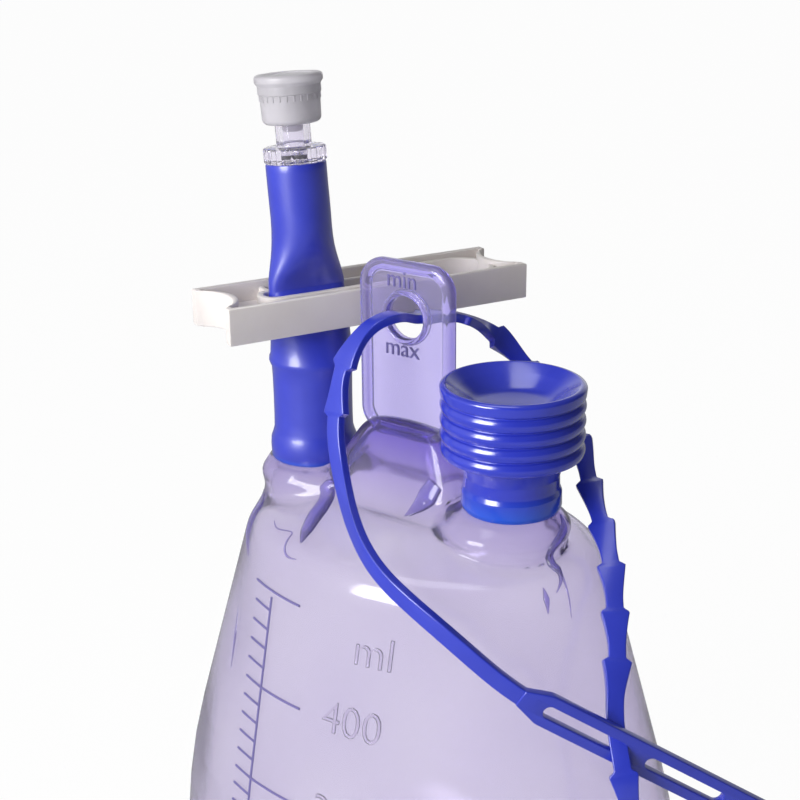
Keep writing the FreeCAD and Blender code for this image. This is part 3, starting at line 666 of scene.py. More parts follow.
@dataclass
class Bottle:
    """Blow-moulded oval bottle with collars, necks, a ridge, a hanging lug and a raised scale."""

    neck_top: float = 106.0
    half_width: float = 57.8
    depth_ratio: float = 0.72
    wall: float = 0.8
    thickening: float = 2.4
    inlet_place: float = -27.6
    bellows_place: float = 20.9
    lug_place: float = -4.2
    lug_offset: float = 1.2
    lug_width: float = 22.0
    lug_thickness: float = 2.8
    lug_top: float = 44.2
    lug_border: float = 2.0
    hole_height: float = 33.0
    hole_radius: float = 4.3
    boss_radius: float = 5.3
    skin_pitch: float = 0.85
    void_pitch: float = 1.5
    lug_pitch: float = 0.3
    scale_x: float = -16.5
    mark_radius: float = 0.26
    number_size: float = 8.8
    word_size: float = 4.9
    letter_depth: float = 0.16
    left_collar: tuple[float, float, float] = (11.2, 3.0, 9.3)
    right_collar: tuple[float, float, float] = (13.4, 2.9, 9.9)
    right_collar_shift: tuple[float, float] = (-1.3, -0.9)
    ridge_reach: float = 14.6
    ridge_depth: float = 8.5
    ridge_height: float = 12.0
    ridge_foot: float = -14.0

    def body_corners(self, inset: float) -> list[tuple[float, ...]]:
        """Half outline of the body, moved inwards by the inset."""
        top = self.neck_top - 4.5
        lean = math.hypot(1.0, (self.half_width - 38.6) / (self.neck_top - 9.0 - 33.0))
        return [
            (0.0, inset), (self.half_width - inset, inset, 14.0 - inset),
            (self.half_width - inset, 33.0, 130.0 - inset),
            (38.6 - inset * lean, self.neck_top - 9.0 - inset, 8.0 - inset),
            (20.0, top - inset, 20.0), (0.0, top + 0.5 - inset)]

    def collar_corners(self, radius: float, drop: float, seat: float,
                       inset: float) -> list[tuple[float, ...]]:
        """Half outline of the rounded collar under a neck.

        Args:
            radius: Radius of the collar's side.
            drop: How far its shoulder lies below its top.
            seat: Radius of the flat that the moulding above stands on.
            inset: How far the outline is moved inwards.

        Returns:
            Corners (radius, height) with the radius of their rounding.
        """
        foot = self.neck_top - 12.0 + inset
        return [
            (0.0, foot), (radius * 0.8 - inset, foot),
            (radius - inset, self.neck_top - drop - inset, 2.2),
            (seat - inset, self.neck_top - inset, 0.8), (0.0, self.neck_top - inset)]

    def fields(self, inset: float) -> tuple[ProfileField, ProfileField, ProfileField]:
        """Distance tables of the body and the two collars."""
        deep = inset * self.thickening
        return (ProfileField(self.body_corners(inset)),
                ProfileField(self.collar_corners(*self.left_collar, deep)),
                ProfileField(self.collar_corners(*self.right_collar, deep)))

    def ridge(self, points: np.ndarray, inset: float) -> np.ndarray:
        """Distance to the hump that carries the lug, with its lower lip and sloping upper faces."""
        x = np.abs(points[..., 0] - self.lug_place)
        y = np.abs(points[..., 1] - self.lug_offset)
        z = points[..., 2] - self.neck_top
        end = x - (self.ridge_reach - inset) + np.maximum(z - 2.0, 0) * 0.55
        lip = y - (self.ridge_depth - inset)
        slope = (y + (z + 3.0) * 0.42 - self.ridge_depth) * 0.92 + inset
        roof = z + 0.012 * x * x - self.ridge_height + inset
        faces = -melt(-np.maximum(slope, lip), -end, 3.0)
        return np.maximum(-melt(-faces, -roof, 2.4), self.ridge_foot - z)

    def distance(self, inset: float) -> Callable[[np.ndarray], np.ndarray]:
        """Rule for the distance to the skin, or to the inner wall when inset is the wall."""
        body, left, right = self.fields(inset)
        ratio = (self.half_width * self.depth_ratio - inset) / (self.half_width - inset)
        neck_sizes = ((self.inlet_place, 6.4, 14.0), (self.bellows_place, 7.8, 7.5))
        shift_x, shift_y = self.right_collar_shift

        def rule(points: np.ndarray) -> np.ndarray:
            """Distance of points to the whole wall: body, ridge, collars and necks."""
            x, y, z = points[..., 0], points[..., 1], points[..., 2]
            found = body(np.hypot(x, y / ratio), z)
            found = melt(found, self.ridge(points, inset * self.thickening), 4.0)
            found = melt(found, left(np.hypot(x - self.inlet_place, y), z), 4.2)
            off_axis = np.hypot(x - self.bellows_place - shift_x, y - shift_y)
            found = melt(found, right(off_axis, z), 0.9)
            if inset:
                found = found + 0.22 * np.sin(0.19 * x + 0.7) * np.sin(0.11 * z + 0.05 * y + 1.0)
            for place, radius, height in neck_sizes:
                top = self.neck_top + height + (2.0 if inset else 0.0)
                around = np.hypot(x - place, y) - (radius - (1.4 if inset else 0.0))
                beyond = np.maximum(z - top, self.neck_top - 8.0 - z)
                found = np.minimum(found, np.maximum(around, beyond))
            return found
        return rule

    def make_pleats(self) -> bpy.types.Object:
        """Lay on the wall the pleats that the mould pinched, and the flash by the right collar."""
        rule, pieces = self.distance(0.0), []
        for route, widths, flat in PLEATS:
            path = settled_on(rule, smooth_path(np.array(route, float), 8), 2)
            pieces.append(fin("pleat", path, slope_of(rule, path), widths, flat))
        return joined("bottle_pleats", pieces)

    def make_shell(self) -> bpy.types.Object:
        """Draw the outer skin and the inner wall, and open both at the necks' rims."""
        reach = self.half_width + 2.5
        depth = self.half_width * self.depth_ratio + 2.5
        low, high = (-reach, -depth, -2.0), (reach, depth, self.neck_top + 19.0)
        outer_points, outer_faces = skin_of(self.distance(0.0), low, high, self.skin_pitch)
        inner_points, inner_faces = skin_of(self.distance(self.wall), low, high, self.void_pitch)
        points = np.concatenate([outer_points, inner_points])
        faces = np.concatenate([outer_faces, inner_faces[:, ::-1] + len(outer_points)])
        shell = mesh_object("bottle_shell", points, faces, 180.0, turn_outwards=False)
        found = np.array([vertex.co for vertex in shell.data.vertices]) / MM
        _, left, right = self.fields(0.0)
        x, y, z = found.T
        collar_start, fade, low_z, rise = 1.2, 2.0, 101.0, 13.0
        near = self.ridge(found, 0.0)
        for field, place in ((left, self.inlet_place), (right, self.bellows_place)):
            near = np.minimum(near, field(np.hypot(x - place, y), z) + collar_start)
        share = np.clip(1.0 - near / fade, 0.0, 1.0) * np.clip((z - low_z) / rise, 0.1, 1.0)
        shade = shell.data.attributes.new("moulded", "FLOAT", "POINT")
        shade.data.foreach_set("value", share)
        return shell

    def lug_distance(self, points: np.ndarray) -> np.ndarray:
        """Distance to the lug: a panel with a raised border, a boss and a hole."""
        place = points - np.array([self.lug_place, self.lug_offset, self.neck_top])
        foot, half = 8.0, self.lug_width / 2
        middle, tall = (self.lug_top + foot) / 2, (self.lug_top - foot) / 2

        def board(shrink: float, corner: float) -> np.ndarray:
            """Distance to a rectangle with rounded corners, made smaller by the shrink."""
            across = np.abs(place[..., 0]) - (half - shrink - corner)
            along = np.abs(place[..., 2] - middle) - (tall - shrink - corner)
            reach = np.hypot(np.maximum(across, 0), np.maximum(along, 0))
            return reach + np.minimum(np.maximum(across, along), 0) - corner

        side = np.abs(place[..., 1])
        whole = -melt(-board(0.0, 5.5), -(side - self.lug_thickness / 2), 1.3)
        recess = -melt(-board(self.lug_border, 3.5), -(self.lug_thickness / 2 - 0.7 - side), 0.5)
        around = np.hypot(place[..., 0], place[..., 2] - self.hole_height)
        recess = np.maximum(recess, self.boss_radius - around)
        whole = -melt(-whole, recess, 0.5)
        return -melt(-whole, around - self.hole_radius, 0.9)

    def make_lug(self) -> bpy.types.Object:
        """Draw the lug finely, so that its border and boss keep their edges."""
        half, centre = self.lug_width / 2 + 1.0, self.lug_place
        low = (centre - half, self.lug_offset - 2.4, self.neck_top + 7.0)
        high = (centre + half, self.lug_offset + 2.4, self.neck_top + self.lug_top + 1.0)
        points, faces = skin_of(self.lug_distance, low, high, self.lug_pitch)
        return mesh_object("bottle_lug", points, faces, 180.0)

    def surface_y(self, x: float, z: float) -> float:
        """Depth of the front wall at a place across and a height."""
        outline = rounded_corners(self.body_corners(0.0), 4.0, closed=False)
        side = outline[outline[:, 1] > 5.0]
        order = np.argsort(side[:, 1])
        radius = float(np.interp(z, side[order, 1], side[order, 0]))
        return -self.depth_ratio * math.sqrt(max(radius * radius - x * x, 0.0))

    def mark_lines(self) -> list[list[tuple[float, float]]]:
        """Lines of the scale by their ends (across, height): the upright, long and short marks."""
        lines = [[(self.scale_x, SCALE_LEVELS[0] - 1.2), (self.scale_x, SCALE_LEVELS[-1] - 4.0)]]
        for number, level in enumerate(SCALE_LEVELS):
            start = -22.4 if number == 0 else self.scale_x
            lines.append([(start, level), (-8.0 if number == 0 else -5.0, level)])
        for high, low in zip(SCALE_LEVELS, SCALE_LEVELS[1:]):
            for part in range(1, 6):
                level = high + (low - high) * part / 5
                lines.append([(-21.8, level + 0.2), (self.scale_x - 0.3, level)])
        return lines

    def make_marks(self) -> bpy.types.Object:
        """Sweep a low bead along every line of the scale, over the curved wall."""
        curve = bpy.data.curves.new("scale_lines", "CURVE")
        curve.dimensions = "3D"
        for number, (start, end) in enumerate(self.mark_lines()):
            count = max(3, int(max(abs(start[0] - end[0]), abs(start[1] - end[1])) / 1.2))
            spline = curve.splines.new("POLY")
            spline.points.add(count)
            for index, point in enumerate(spline.points):
                share = index / count
                x = start[0] + (end[0] - start[0]) * share
                z = start[1] + (end[1] - start[1]) * share
                point.co = (x * MM, (self.surface_y(x, z) - 0.02) * MM, z * MM, 1)
                point.radius = 1.5 if number == 0 else 1.0
        holder = linked("scale_lines", curve)
        sweep_tree().attach(holder, self.mark_radius * MM)
        return plain_mesh(holder, "bottle_scale_marks")

    def lettering(self, text: str, size: float, depth: float) -> bpy.types.Object:
        """Make raised letters that stand upright in X and Z and face -Y, centred on the origin."""
        curve = bpy.data.curves.new("letters", "FONT")
        curve.body = text
        curve.size = size * MM
        curve.extrude = depth * MM
        curve.bevel_depth = 0.06 * MM
        curve.offset = -0.015 * size * MM
        curve.align_x = "CENTER"
        curve.align_y = "CENTER"
        curve.resolution_u = 3
        holder = linked("letters", curve)
        bpy.context.view_layer.update()
        made = plain_mesh(holder, "letters")
        made.data.transform(Matrix.Rotation(math.pi / 2, 4, "X"))
        return made

    def make_letters(self) -> tuple[bpy.types.Object, bpy.types.Object]:
        """Set the numbers on the wall and the two words on the lug.

        Returns:
            The numbers and the words, each as one piece.
        """
        numbers, words = [], []
        for text, x, z in NUMBERS:
            word = self.lettering(text, self.number_size, self.letter_depth)
            for vertex in word.data.vertices:
                place_x, place_z = vertex.co.x / MM + x, vertex.co.z / MM + z
                place_y = self.surface_y(place_x, place_z) + vertex.co.y / MM
                vertex.co = Vector((place_x, place_y, place_z)) * MM
            numbers.append(word)
        face = self.lug_offset - self.lug_thickness / 2 + 0.7
        for text, height in (("max", 26.6), ("min", 40.4)):
            word = self.lettering(text, self.word_size, self.letter_depth)
            place = Vector((self.lug_place - 0.8, face, self.neck_top + height))
            word.data.transform(Matrix.Translation(place * MM))
            words.append(word)
        return joined("bottle_numbers", numbers), joined("lug_words", words)

    def build(self) -> None:
        """Make every part of the bottle and dress it in clear PVC."""
        # Blown wall: pale and clear, with the collars and the ridge a deeper lilac.
        wall = ClearPVC(deep="#C6BAF6").build()
        # Pressed lug: flatter and glossier than the wall, and purple along its thick border.
        thick = ClearPVC(name="clear_pvc_pressed_lug", absorbed=(300.0, 350.0, 60.0), surface="#F3EFFF",
                         clearness=0.84, roughness=0.08, ripple_depth_mm=0.03).build()
        # Pinched pleats: folded double, so that they read as dark purple creases.
        pinched = ClearPVC(name="clear_pvc_pinched", absorbed=(380.0, 430.0, 80.0), surface="#CFC6F6",
                           clearness=0.8, roughness=0.12, ripple_depth_mm=0.0).build()
        # Raised scale: its steep sides turn light away, so that its lines read as slate violet.
        raised = ClearPVC(name="clear_pvc_raised_scale", surface="#8E86C4", clearness=0.35,
                          absorbed=(300.0, 340.0, 120.0), roughness=0.2, ripple_depth_mm=0.0).build()
        dress(self.make_shell(), wall, "clear_bottle", Body.BOTTLE, "bottle")
        dress(self.make_lug(), thick, "clear_bottle", Body.BOTTLE)
        dress(self.make_pleats(), pinched, "clear_bottle", Body.BOTTLE)
        dress(self.make_marks(), raised, "clear_bottle", Body.BOTTLE)
        numbers, words = self.make_letters()
        dress(numbers, wall, "clear_bottle", Body.BOTTLE)
        dress(words, raised, "clear_bottle", Body.BOTTLE)


class NodeTool:
    """A geometry node tree with named number inputs."""

    def __init__(self, name: str, inputs: Sequence[tuple[str, str]]) -> None:
        """Make the tree with its geometry sockets and the stated inputs."""
        self.tree = bpy.data.node_groups.new(name, "GeometryNodeTree")
        face = self.tree.interface
        face.new_socket("Geometry", in_out="INPUT", socket_type="NodeSocketGeometry")
        self.sockets = [face.new_socket(title, in_out="INPUT", socket_type=kind)
                        for title, kind in inputs]
        face.new_socket("Geometry", in_out="OUTPUT", socket_type="NodeSocketGeometry")
        self.entry = self.tree.nodes.new("NodeGroupInput")

    def close(self, geometry: bpy.types.NodeSocket) -> None:
        """End the tree in Realize Instances and Set Material."""
        real = add_node(self.tree, "GeometryNodeRealizeInstances", {"Geometry": geometry})
        dressed = add_node(self.tree, "GeometryNodeSetMaterial", {"Geometry": real.outputs[0]})
        add_node(self.tree, "NodeGroupOutput", {0: dressed.outputs[0]})

    def attach(self, holder: bpy.types.Object, *values: object) -> None:
        """Put the tree on an object and set its inputs by their identifiers."""
        modifier = holder.modifiers.new(self.tree.name, "NODES")
        modifier.node_group = self.tree
        for socket, value in zip(self.sockets, values):
            modifier[socket.identifier] = value
        bpy.context.view_layer.update()


def sweep_tree() -> NodeTool:
    """Tree that sweeps a round bead along the curves of the object."""
    tool = NodeTool("bead_sweep", [("Radius", "NodeSocketFloat")])
    circle = add_node(tool.tree, "GeometryNodeCurvePrimitiveCircle", {
        "Resolution": 8, "Radius": tool.entry.outputs["Radius"]}, mode="RADIUS")
    bead = add_node(tool.tree, "GeometryNodeCurveToMesh", {
        "Curve": tool.entry.outputs["Geometry"], "Profile Curve": circle.outputs["Curve"],
        "Fill Caps": True})
    tool.close(bead.outputs[0])
    return tool


def ring_tree() -> NodeTool:
    """Tree that repeats an object's mesh round the Z axis."""
    tool = NodeTool("ring_of_ribs", [
        ("Rib", "NodeSocketObject"), ("Count", "NodeSocketInt"), ("Radius", "NodeSocketFloat")])
    tree, entry = tool.tree, tool.entry
    circle = add_node(tree, "GeometryNodeMeshCircle", {
        "Vertices": entry.outputs["Count"], "Radius": entry.outputs["Radius"]})
    rib = add_node(tree, "GeometryNodeObjectInfo", {"Object": entry.outputs["Rib"]})
    place = add_node(tree, "GeometryNodeInputPosition")
    turned = add_node(tree, "FunctionNodeAlignEulerToVector", {"Vector": place.outputs[0]},
                      axis="X", pivot_axis="Z")
    copies = add_node(tree, "GeometryNodeInstanceOnPoints", {
        "Points": circle.outputs[0], "Instance": rib.outputs["Geometry"],
        "Rotation": turned.outputs[0]})
    tool.close(copies.outputs[0])
    return tool


@dataclass
class UpperLine:
    """What follows the leaning tube: its foot on the clamp, its direction and its end."""

    inlet_place: float = -27.6
    neck_top: float = 106.0
    clamp_angle: float = 66.2
    clamp_top: float = 36.4
    pinch_shift: float = 0.7
    lean: float = 4.4
    tube_length: float = 24.7

    @property
    def along(self) -> np.ndarray:
        """Direction of the clamp's length."""
        angle = math.radians(self.clamp_angle)
        return np.array([math.cos(angle), math.sin(angle), 0.0])

    @property
    def foot(self) -> np.ndarray:
        """Foot of the leaning tube, on the clamp's top."""
        above_neck = np.array([self.inlet_place, 0.0, self.neck_top + self.clamp_top])
        return above_neck - self.along * self.pinch_shift

    @property
    def way(self) -> np.ndarray:
        """Direction of the leaning tube."""
        lean = math.radians(self.lean)
        return np.array([-math.sin(lean), 0.0, math.cos(lean)])

    def placed(self, rise: float) -> Matrix:
        """Matrix that stands a piece on the tube's axis, above the tube's end by the rise."""
        place = self.foot + self.way * (self.tube_length + rise)
        return Matrix.Translation(Vector(place) * MM) @ Matrix.Rotation(-math.radians(self.lean), 4, "Y")


@dataclass
class InletSleeve:
    """Soft sleeve: a socket over the neck, a flat pinch in the clamp and a round tube above."""

    line: UpperLine
    sides: int = 96
    pinch_length: float = 16.7
    pinch_thickness: float = 4.4
    tube_radius: float = 6.0

    def ring(self, height: float, half_run: float, radius: float, lean_share: float,
             rise: float = 0.0) -> np.ndarray:
        """One section: two half circles joined by straight runs, turned as the clamp lies.

        Args:
            height: Height of an upright section.
            half_run: Half length of its straight runs.
            radius: Radius of its ends.
            lean_share: How far it belongs to the leaning tube, from none to all.
            rise: Distance up the leaning tube.

        Returns:
            Points of the section.
        """
        angles = np.arange(self.sides) * 2 * math.pi / self.sides
        run = half_run * np.tanh(2.4 * np.cos(angles))
        u, v = run + radius * np.cos(angles), radius * np.sin(angles)
        along = self.line.along
        across = np.array([-along[1], along[0], 0.0])
        straight = np.array([self.line.inlet_place, 0.0, height])
        leaning = self.line.foot + self.line.way * rise
        centre = straight * (1 - lean_share) + leaning * lean_share
        points = centre + u[:, None] * along + v[:, None] * across
        if lean_share > 0:
            slope = math.tan(math.radians(self.line.lean))
            points[:, 2] += (points[:, 0] - centre[0]) * slope * min(1.0, rise / 8.0)
        return points

    def rows(self) -> list[np.ndarray]:
        """Rings down the socket's bore, round the foot, up to the tube's end and into its bore."""
        top = self.line.neck_top
        made = []
        for height, radius in (
                (20.0, 2.0), (16.0, 6.45), (0.0, 6.45), (0.0, 8.3), (0.12, 8.65), (0.5, 8.85),
                (2.6, 8.95), (4.2, 8.85), (5.3, 8.45), (6.4, 8.15), (9.0, 8.1), (13.0, 8.1),
                (17.0, 8.15), (19.6, 8.25), (20.3, 8.55), (20.9, 8.75), (21.6, 8.7), (22.1, 8.45)):
            made.append(self.ring(top + height, 0, radius, 0))
        flat, half = (self.pinch_length - self.pinch_thickness) / 2, self.pinch_thickness / 2
        for height, share in ((22.9, 0.2), (24.0, 0.48), (25.4, 0.76), (26.8, 0.93), (28.2, 1.0)):
            radius = 8.3 + (half - 8.3) * share
            made.append(self.ring(top + height, flat * share * 0.98, radius, share))
        clamp_top = self.line.clamp_top
        for height in (29.0, 32.5, clamp_top):
            ring = self.ring(top + height, flat, half, 1.0)
            ring[:, 2] = top + height
            made.append(ring)
        for rise, share in (
                (0.8, 0.02), (1.8, 0.1), (3.0, 0.24), (4.5, 0.44), (6.0, 0.63), (7.6, 0.8),
                (9.4, 0.92), (11.5, 0.99), (14.0, 1.0), (17.0, 0.985), (20.0, 0.995), (23.0, 1.0)):
            radius = half + (self.tube_radius - half) * share
            made.append(self.ring(0, flat * (1 - share), radius, 1.0, rise))
        end = self.line.tube_length
        for rise, radius in ((end - 0.5, 6.0), (end - 0.12, 5.9), (end, 5.6), (end, 3.6),
                             (end - 12.5, 3.55)):
            made.append(self.ring(0, 0, radius, 1.0, rise))
        return made

    def build(self) -> None:
        """Skin the rings, add the folds that the pinch presses in, and dress the sleeve."""
        points, faces = skin_rows(self.rows())
        angle = np.arctan2(points[:, 1], points[:, 0] - self.line.inlet_place)
        height = points[:, 2] - self.line.neck_top
        fold = 0.10 * np.sin(3 * angle + 0.35 * height) * np.exp(-((height - 45.0) / 9.0) ** 2)
        away = points - (self.line.inlet_place, 0.0, 0.0)
        away[:, 2] = 0.0
        length = np.maximum(np.linalg.norm(away, axis=1), 1.0)
        points = points + away / length[:, None] * fold[:, None]
        piece = mesh_object("inlet_sleeve_moulding", points, faces, 50.0)
        # The foot's azure near the neck's top is a painted glow of light shining through its thin edge.
        finish = SoftBlue(edge_z=self.line.neck_top, edge_reach=1.3)
        dress(piece, finish.build(), "blue_sleeve", Body.BOTTLE, "inlet_sleeve")


@dataclass
class SlideClamp:
    """White slide clamp: a tray with hollow ends, jaws round a slot, and a wide eye."""

    line: UpperLine
    length: float = 68.0
    width: float = 18.5
    height: float = 7.4
    wall: float = 1.3
    floor: float = 3.5
    jaw_drop: float = 0.9
    tube_margin: float = 21.0
    eye_margin: float = 13.0
    eye_length: float = 16.5
    eye_width: float = 12.6
    slot_width: float = 4.6
    slot_reach: float = 9.35
    end_hollow: float = 4.0
    land: float = 2.0
    edge: float = 0.32

    def tray(self, inset: float) -> np.ndarray:
        """Outline of the tray with hollow ends, moved inwards by the inset."""
        half, wide = self.length / 2 - inset, self.width / 2 - inset
        land = self.land - 0.6 * inset
        reach = wide - land
        hollow = self.end_hollow
        radius = (reach * reach + hollow * hollow) / (2 * hollow)
        sweep = math.asin(reach / radius)
        points = []
        for side in (1, -1):
            centre = side * (half - hollow + radius)
            points.append((side * half, -side * wide))
            for part in range(21):
                angle = sweep * (1 - part / 10)
                points.append((centre - side * radius * math.cos(angle), -side * radius * math.sin(angle)))
            points.append((side * half, side * wide))
        return np.array(points)

    def keyhole(self, grow: float) -> np.ndarray:
        """Outline of the slot that opens into the eye, moved outwards by the grow."""
        half = self.slot_width / 2 + grow
        left = self.tube_margin - self.length / 2 - self.slot_reach + self.slot_width / 2
        radius = self.eye_width / 2 + grow
        eye = self.length / 2 - self.eye_margin
        run = (self.eye_length - self.eye_width) / 2
        meet = math.asin(half / radius)
        return np.array(
            arc(left, half, math.pi / 2, 1.5 * math.pi, 11)
            + arc(eye - run, radius, math.pi + meet, 1.5 * math.pi, 9)
            + arc(eye + run, radius, -math.pi / 2, math.pi / 2, 17)
            + arc(eye - run, radius, math.pi / 2, math.pi - meet, 9))

    def build(self) -> None:
        """Stack the floor, the rim, the keyhole's lip and the cross ribs, and set them at the tube."""
        outer, hole = self.tray(0.0), self.keyhole(0.0)
        lip_top = self.height - self.jaw_drop
        parts = [
            plate("floor", [self.tray(self.wall / 2), self.keyhole(self.wall / 2)], 0.05,
                  self.floor, self.edge),
            plate("rim", [outer, self.tray(self.wall)], 0.0, self.height, self.edge),
            plate("lip", [self.keyhole(self.wall), hole], 0.0, lip_top, self.edge),
        ]
        tube = self.tube_margin - self.length / 2
        for place in (tube - 6.4, tube + 7.0):
            for side in (-1, 1):
                y = side * (self.slot_width / 2 + self.width / 2) / 2
                half = (self.width / 2 - self.slot_width / 2) / 2 - 0.5
                box = np.array([(place - 0.55, y - half), (place + 0.55, y - half),
                                (place + 0.55, y + half), (place - 0.55, y + half)])
                parts.append(plate("rib", [box], self.floor - 0.6, lip_top - 0.5, 0.25))
        clamp = joined("slide_clamp_moulding", parts)
        place = self.line.foot - self.line.along * tube - np.array([0, 0, self.height])
        turn = Matrix.Rotation(math.radians(self.line.clamp_angle), 4, "Z")
        clamp.data.transform(Matrix.Translation(Vector(place) * MM) @ turn)
        finish = Satin("polypropylene_moulded_white", "#EFEAE7", "#E3DBD8")
        dress(clamp, finish.build(), "white_clamp", Body.CLAMP, "slide_clamp")


@dataclass
class Connector:
    """Clear connector: a barb in the tube, a scalloped flange and an open stem."""

    line: UpperLine
    flange_radius: float = 6.2
    flange_height: float = 3.0
    flutes: int = 14
    flute_depth: float = 0.45
    stem_radius: float = 3.45
    stem_height: float = 14.4
    bore_radius: float = 2.1

    def scalloped(self, radii: np.ndarray, height: float, angles: np.ndarray) -> np.ndarray:
        """Press flutes into the flange's rim."""
        if height < -0.01 or height > self.flange_height + 0.01:
            return radii
        dip = np.abs(np.cos(angles * self.flutes / 2)) ** 6
        rim = np.clip((radii - self.stem_radius - 1.0) / 1.5, 0, 1)
        return radii - self.flute_depth * dip * rim

    def build(self) -> None:
        """Turn the connector and dress it in clear moulding."""
        flange, stem, bore = self.flange_radius, self.stem_radius, self.bore_radius
        top = self.stem_height
        profile = rounded_corners([
            (1.3, -11.5), (3.1, -11.5), (3.5, -8.6), (3.1, -8.5), (3.5, -5.2), (3.1, -5.0),
            (3.1, 0.0), (flange, 0.0, 0.35), (flange, self.flange_height, 0.45),
            (stem, self.flange_height, 0.5), (stem, top, 0.2), (bore, top, 0.15),
            (bore, 1.5, 0.3), (1.3, 0.7), (1.3, -11.5)], 15.0, closed=False)
        piece = lathe("connector_moulding", profile, 168, self.scalloped)
        piece.data.transform(self.line.placed(0.0))
        finish = ClearPVC(name="polycarbonate_moulded_clear", absorbed=(9.0, 11.0, 6.0), roughness=0.03,
                          ripple_depth_mm=0.02)
        dress(piece, finish.build(), "clear_connector", Body.BOTTLE, "connector")


@dataclass
class Cap:
    """Milky cap: ribbed body under a wider flange, with a plug in the stem's bore."""

    line: UpperLine
    rise: float = 7.5
    radius: float = 5.95
    band_radius: float = 6.2
    flange_radius: float = 6.7
    height: float = 9.5
    ribs: int = 26

    def rib(self) -> bpy.types.Object:
        """One rib with a rounded crown, standing on the band and pointing along +X."""
        outline = rounded_corners([
            (-0.4, -0.24), (0.1, -0.18, 0.1), (0.1, 0.18, 0.1), (-0.4, 0.24)], 30.0)
        return plate("rib", [outline], self.height - 5.0, self.height - 2.0, 0.06)

    def build(self) -> None:
        """Turn the cap, set its ribs round the band, and dress it."""
        foot = self.height - 2.1
        profile = rounded_corners([
            (0.0, -1.6), (1.75, -1.6, 0.3), (2.05, -1.2), (2.05, 7.3), (3.5, 7.3), (3.5, 0.0, 0.15),
            (5.75, 0.0, 1.1), (self.radius, foot - 1.7, 0.3), (self.band_radius, foot - 1.6, 0.1),
            (self.band_radius, foot, 0.1), (self.flange_radius, foot + 0.7, 0.4),
            (self.flange_radius, self.height, 0.7), (4.6, self.height, 0.4), (4.3, self.height - 0.25, 0.3),
            (0.0, self.height - 0.25)], 12.0, closed=False)
        body = lathe("cap_body", profile, 96)
        rib = self.rib()
        holder = linked("ribs", bpy.data.meshes.new("ribs"))
        ring_tree().attach(holder, rib, self.ribs, self.radius * MM)
        ring = plain_mesh(holder, "ribs")
        bpy.data.objects.remove(rib)
        piece = joined("connector_cap_moulding", [body, ring])
        piece.data.transform(self.line.placed(self.rise))
        finish = Satin("polyethylene_moulded_milky", "#EBE8EE", "#E2DFE6", roughness=0.34,
                       scatter=0.25, clearness=0.45)
        dress(piece, finish.build(), "milky_cap", Body.CAP, "connector_cap")


@dataclass
class Bellows:
    """Vacuum indicator: a skirt on the neck, stacked soft folds and a dished top."""

    place: float = 20.9
    neck_top: float = 106.0
    crest: float = 13.75
    root: float = 12.5
    pitch: float = 2.87
    folds: int = 4
    rim_height: float = 23.6
    wall: float = 1.2

    def profile(self) -> np.ndarray:
        """Closed outline: bore, foot, skirt, folds, rim, dish, and back down the inside."""
        first = self.rim_height - (self.folds + 0.5) * self.pitch
        top = self.rim_height + 1.4
        outline = [
            (7.85, 0.0), (9.3, 0.0, 0.3), (9.65, 0.9, 0.5), (9.6, 3.6, 0.6), (9.2, 4.6, 1.0),
            (9.15, 6.9, 1.0), (10.0, first - 0.9, 0.8), (self.root - 0.3, first, 0.3)]
        for fold in range(self.folds):
            level = first + fold * self.pitch
            outline += [
                (self.crest - 0.35, level + 0.35, 0.5),
                (self.crest + 0.1, level + self.pitch * 0.55, 1.3),
                (self.crest - 0.45, level + self.pitch - 0.25, 0.5),
                (self.root, level + self.pitch, 0.2)]
        outline += [
            (self.crest - 0.1, self.rim_height - 1.2, 0.7), (self.crest + 0.1, top - 0.5, 0.7),
            (self.crest - 0.9, top, 0.7), (self.crest - 3.4, top - 1.6, 2.5),
            (7.0, top - 4.2, 4.0), (0.0, top - 4.8)]
        inner = [(0.0, top - 4.8 - self.wall), (7.0, top - 5.4), (10.6, top - 3.4),
                 (10.9, first + 1.3), (8.2, first - 0.9), (7.85, 6.5), (7.85, 0.0)]
        return rounded_corners(outline + inner, 14.0, closed=False)

    def build(self) -> None:
        """Turn the bellows, give it its material, and hide the imported bellows that it stands for."""
        piece = lathe("bellows_moulding", self.profile(), 160)
        piece.data.transform(Matrix.Translation(Vector((self.place, 0, self.neck_top)) * MM))
        # The skirt's azure at its foot is a painted glow of light shining through its thin wall.
        finish = SoftBlue(name="plasticised_pvc_bellows_blue", edge_z=self.neck_top + 0.6,
                          edge_reach=4.6, roughness=0.2)
        piece.data.materials.append(finish.build())
        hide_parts("bellows")
        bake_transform(piece)
        LOG.info("%s: %d faces stretches", piece.name, len(piece.data.polygons))


def smooth_path(points: np.ndarray, per_run: int = 24) -> np.ndarray:
    """Pass a smooth natural cubic through points.

    Args:
        points: Places chosen by hand.
        per_run: Steps between two of them.

    Returns:
        Close points along the cubic.
    """
    gaps = np.linalg.norm(np.diff(points, axis=0), axis=1)
    knots = np.concatenate([[0], np.cumsum(gaps)])
    count = len(points)
    matrix, right = np.eye(count), np.zeros((count, 3))
    for i in range(1, count - 1):
        matrix[i, i - 1:i + 2] = (gaps[i - 1], 2 * (gaps[i - 1] + gaps[i]), gaps[i])
        after, before = points[i + 1] - points[i], points[i] - points[i - 1]
        right[i] = 6 * (after / gaps[i] - before / gaps[i - 1])
    bend = np.linalg.solve(matrix, right)
    made = []
    for i in range(count - 1):
        for share in np.arange(per_run) / per_run:
            a, b, g = 1 - share, share, gaps[i]
            made.append(a * points[i] + b * points[i + 1]
                        + ((a ** 3 - a) * bend[i] + (b ** 3 - b) * bend[i + 1]) * g * g / 6)
    return np.array(made + [points[-1]])
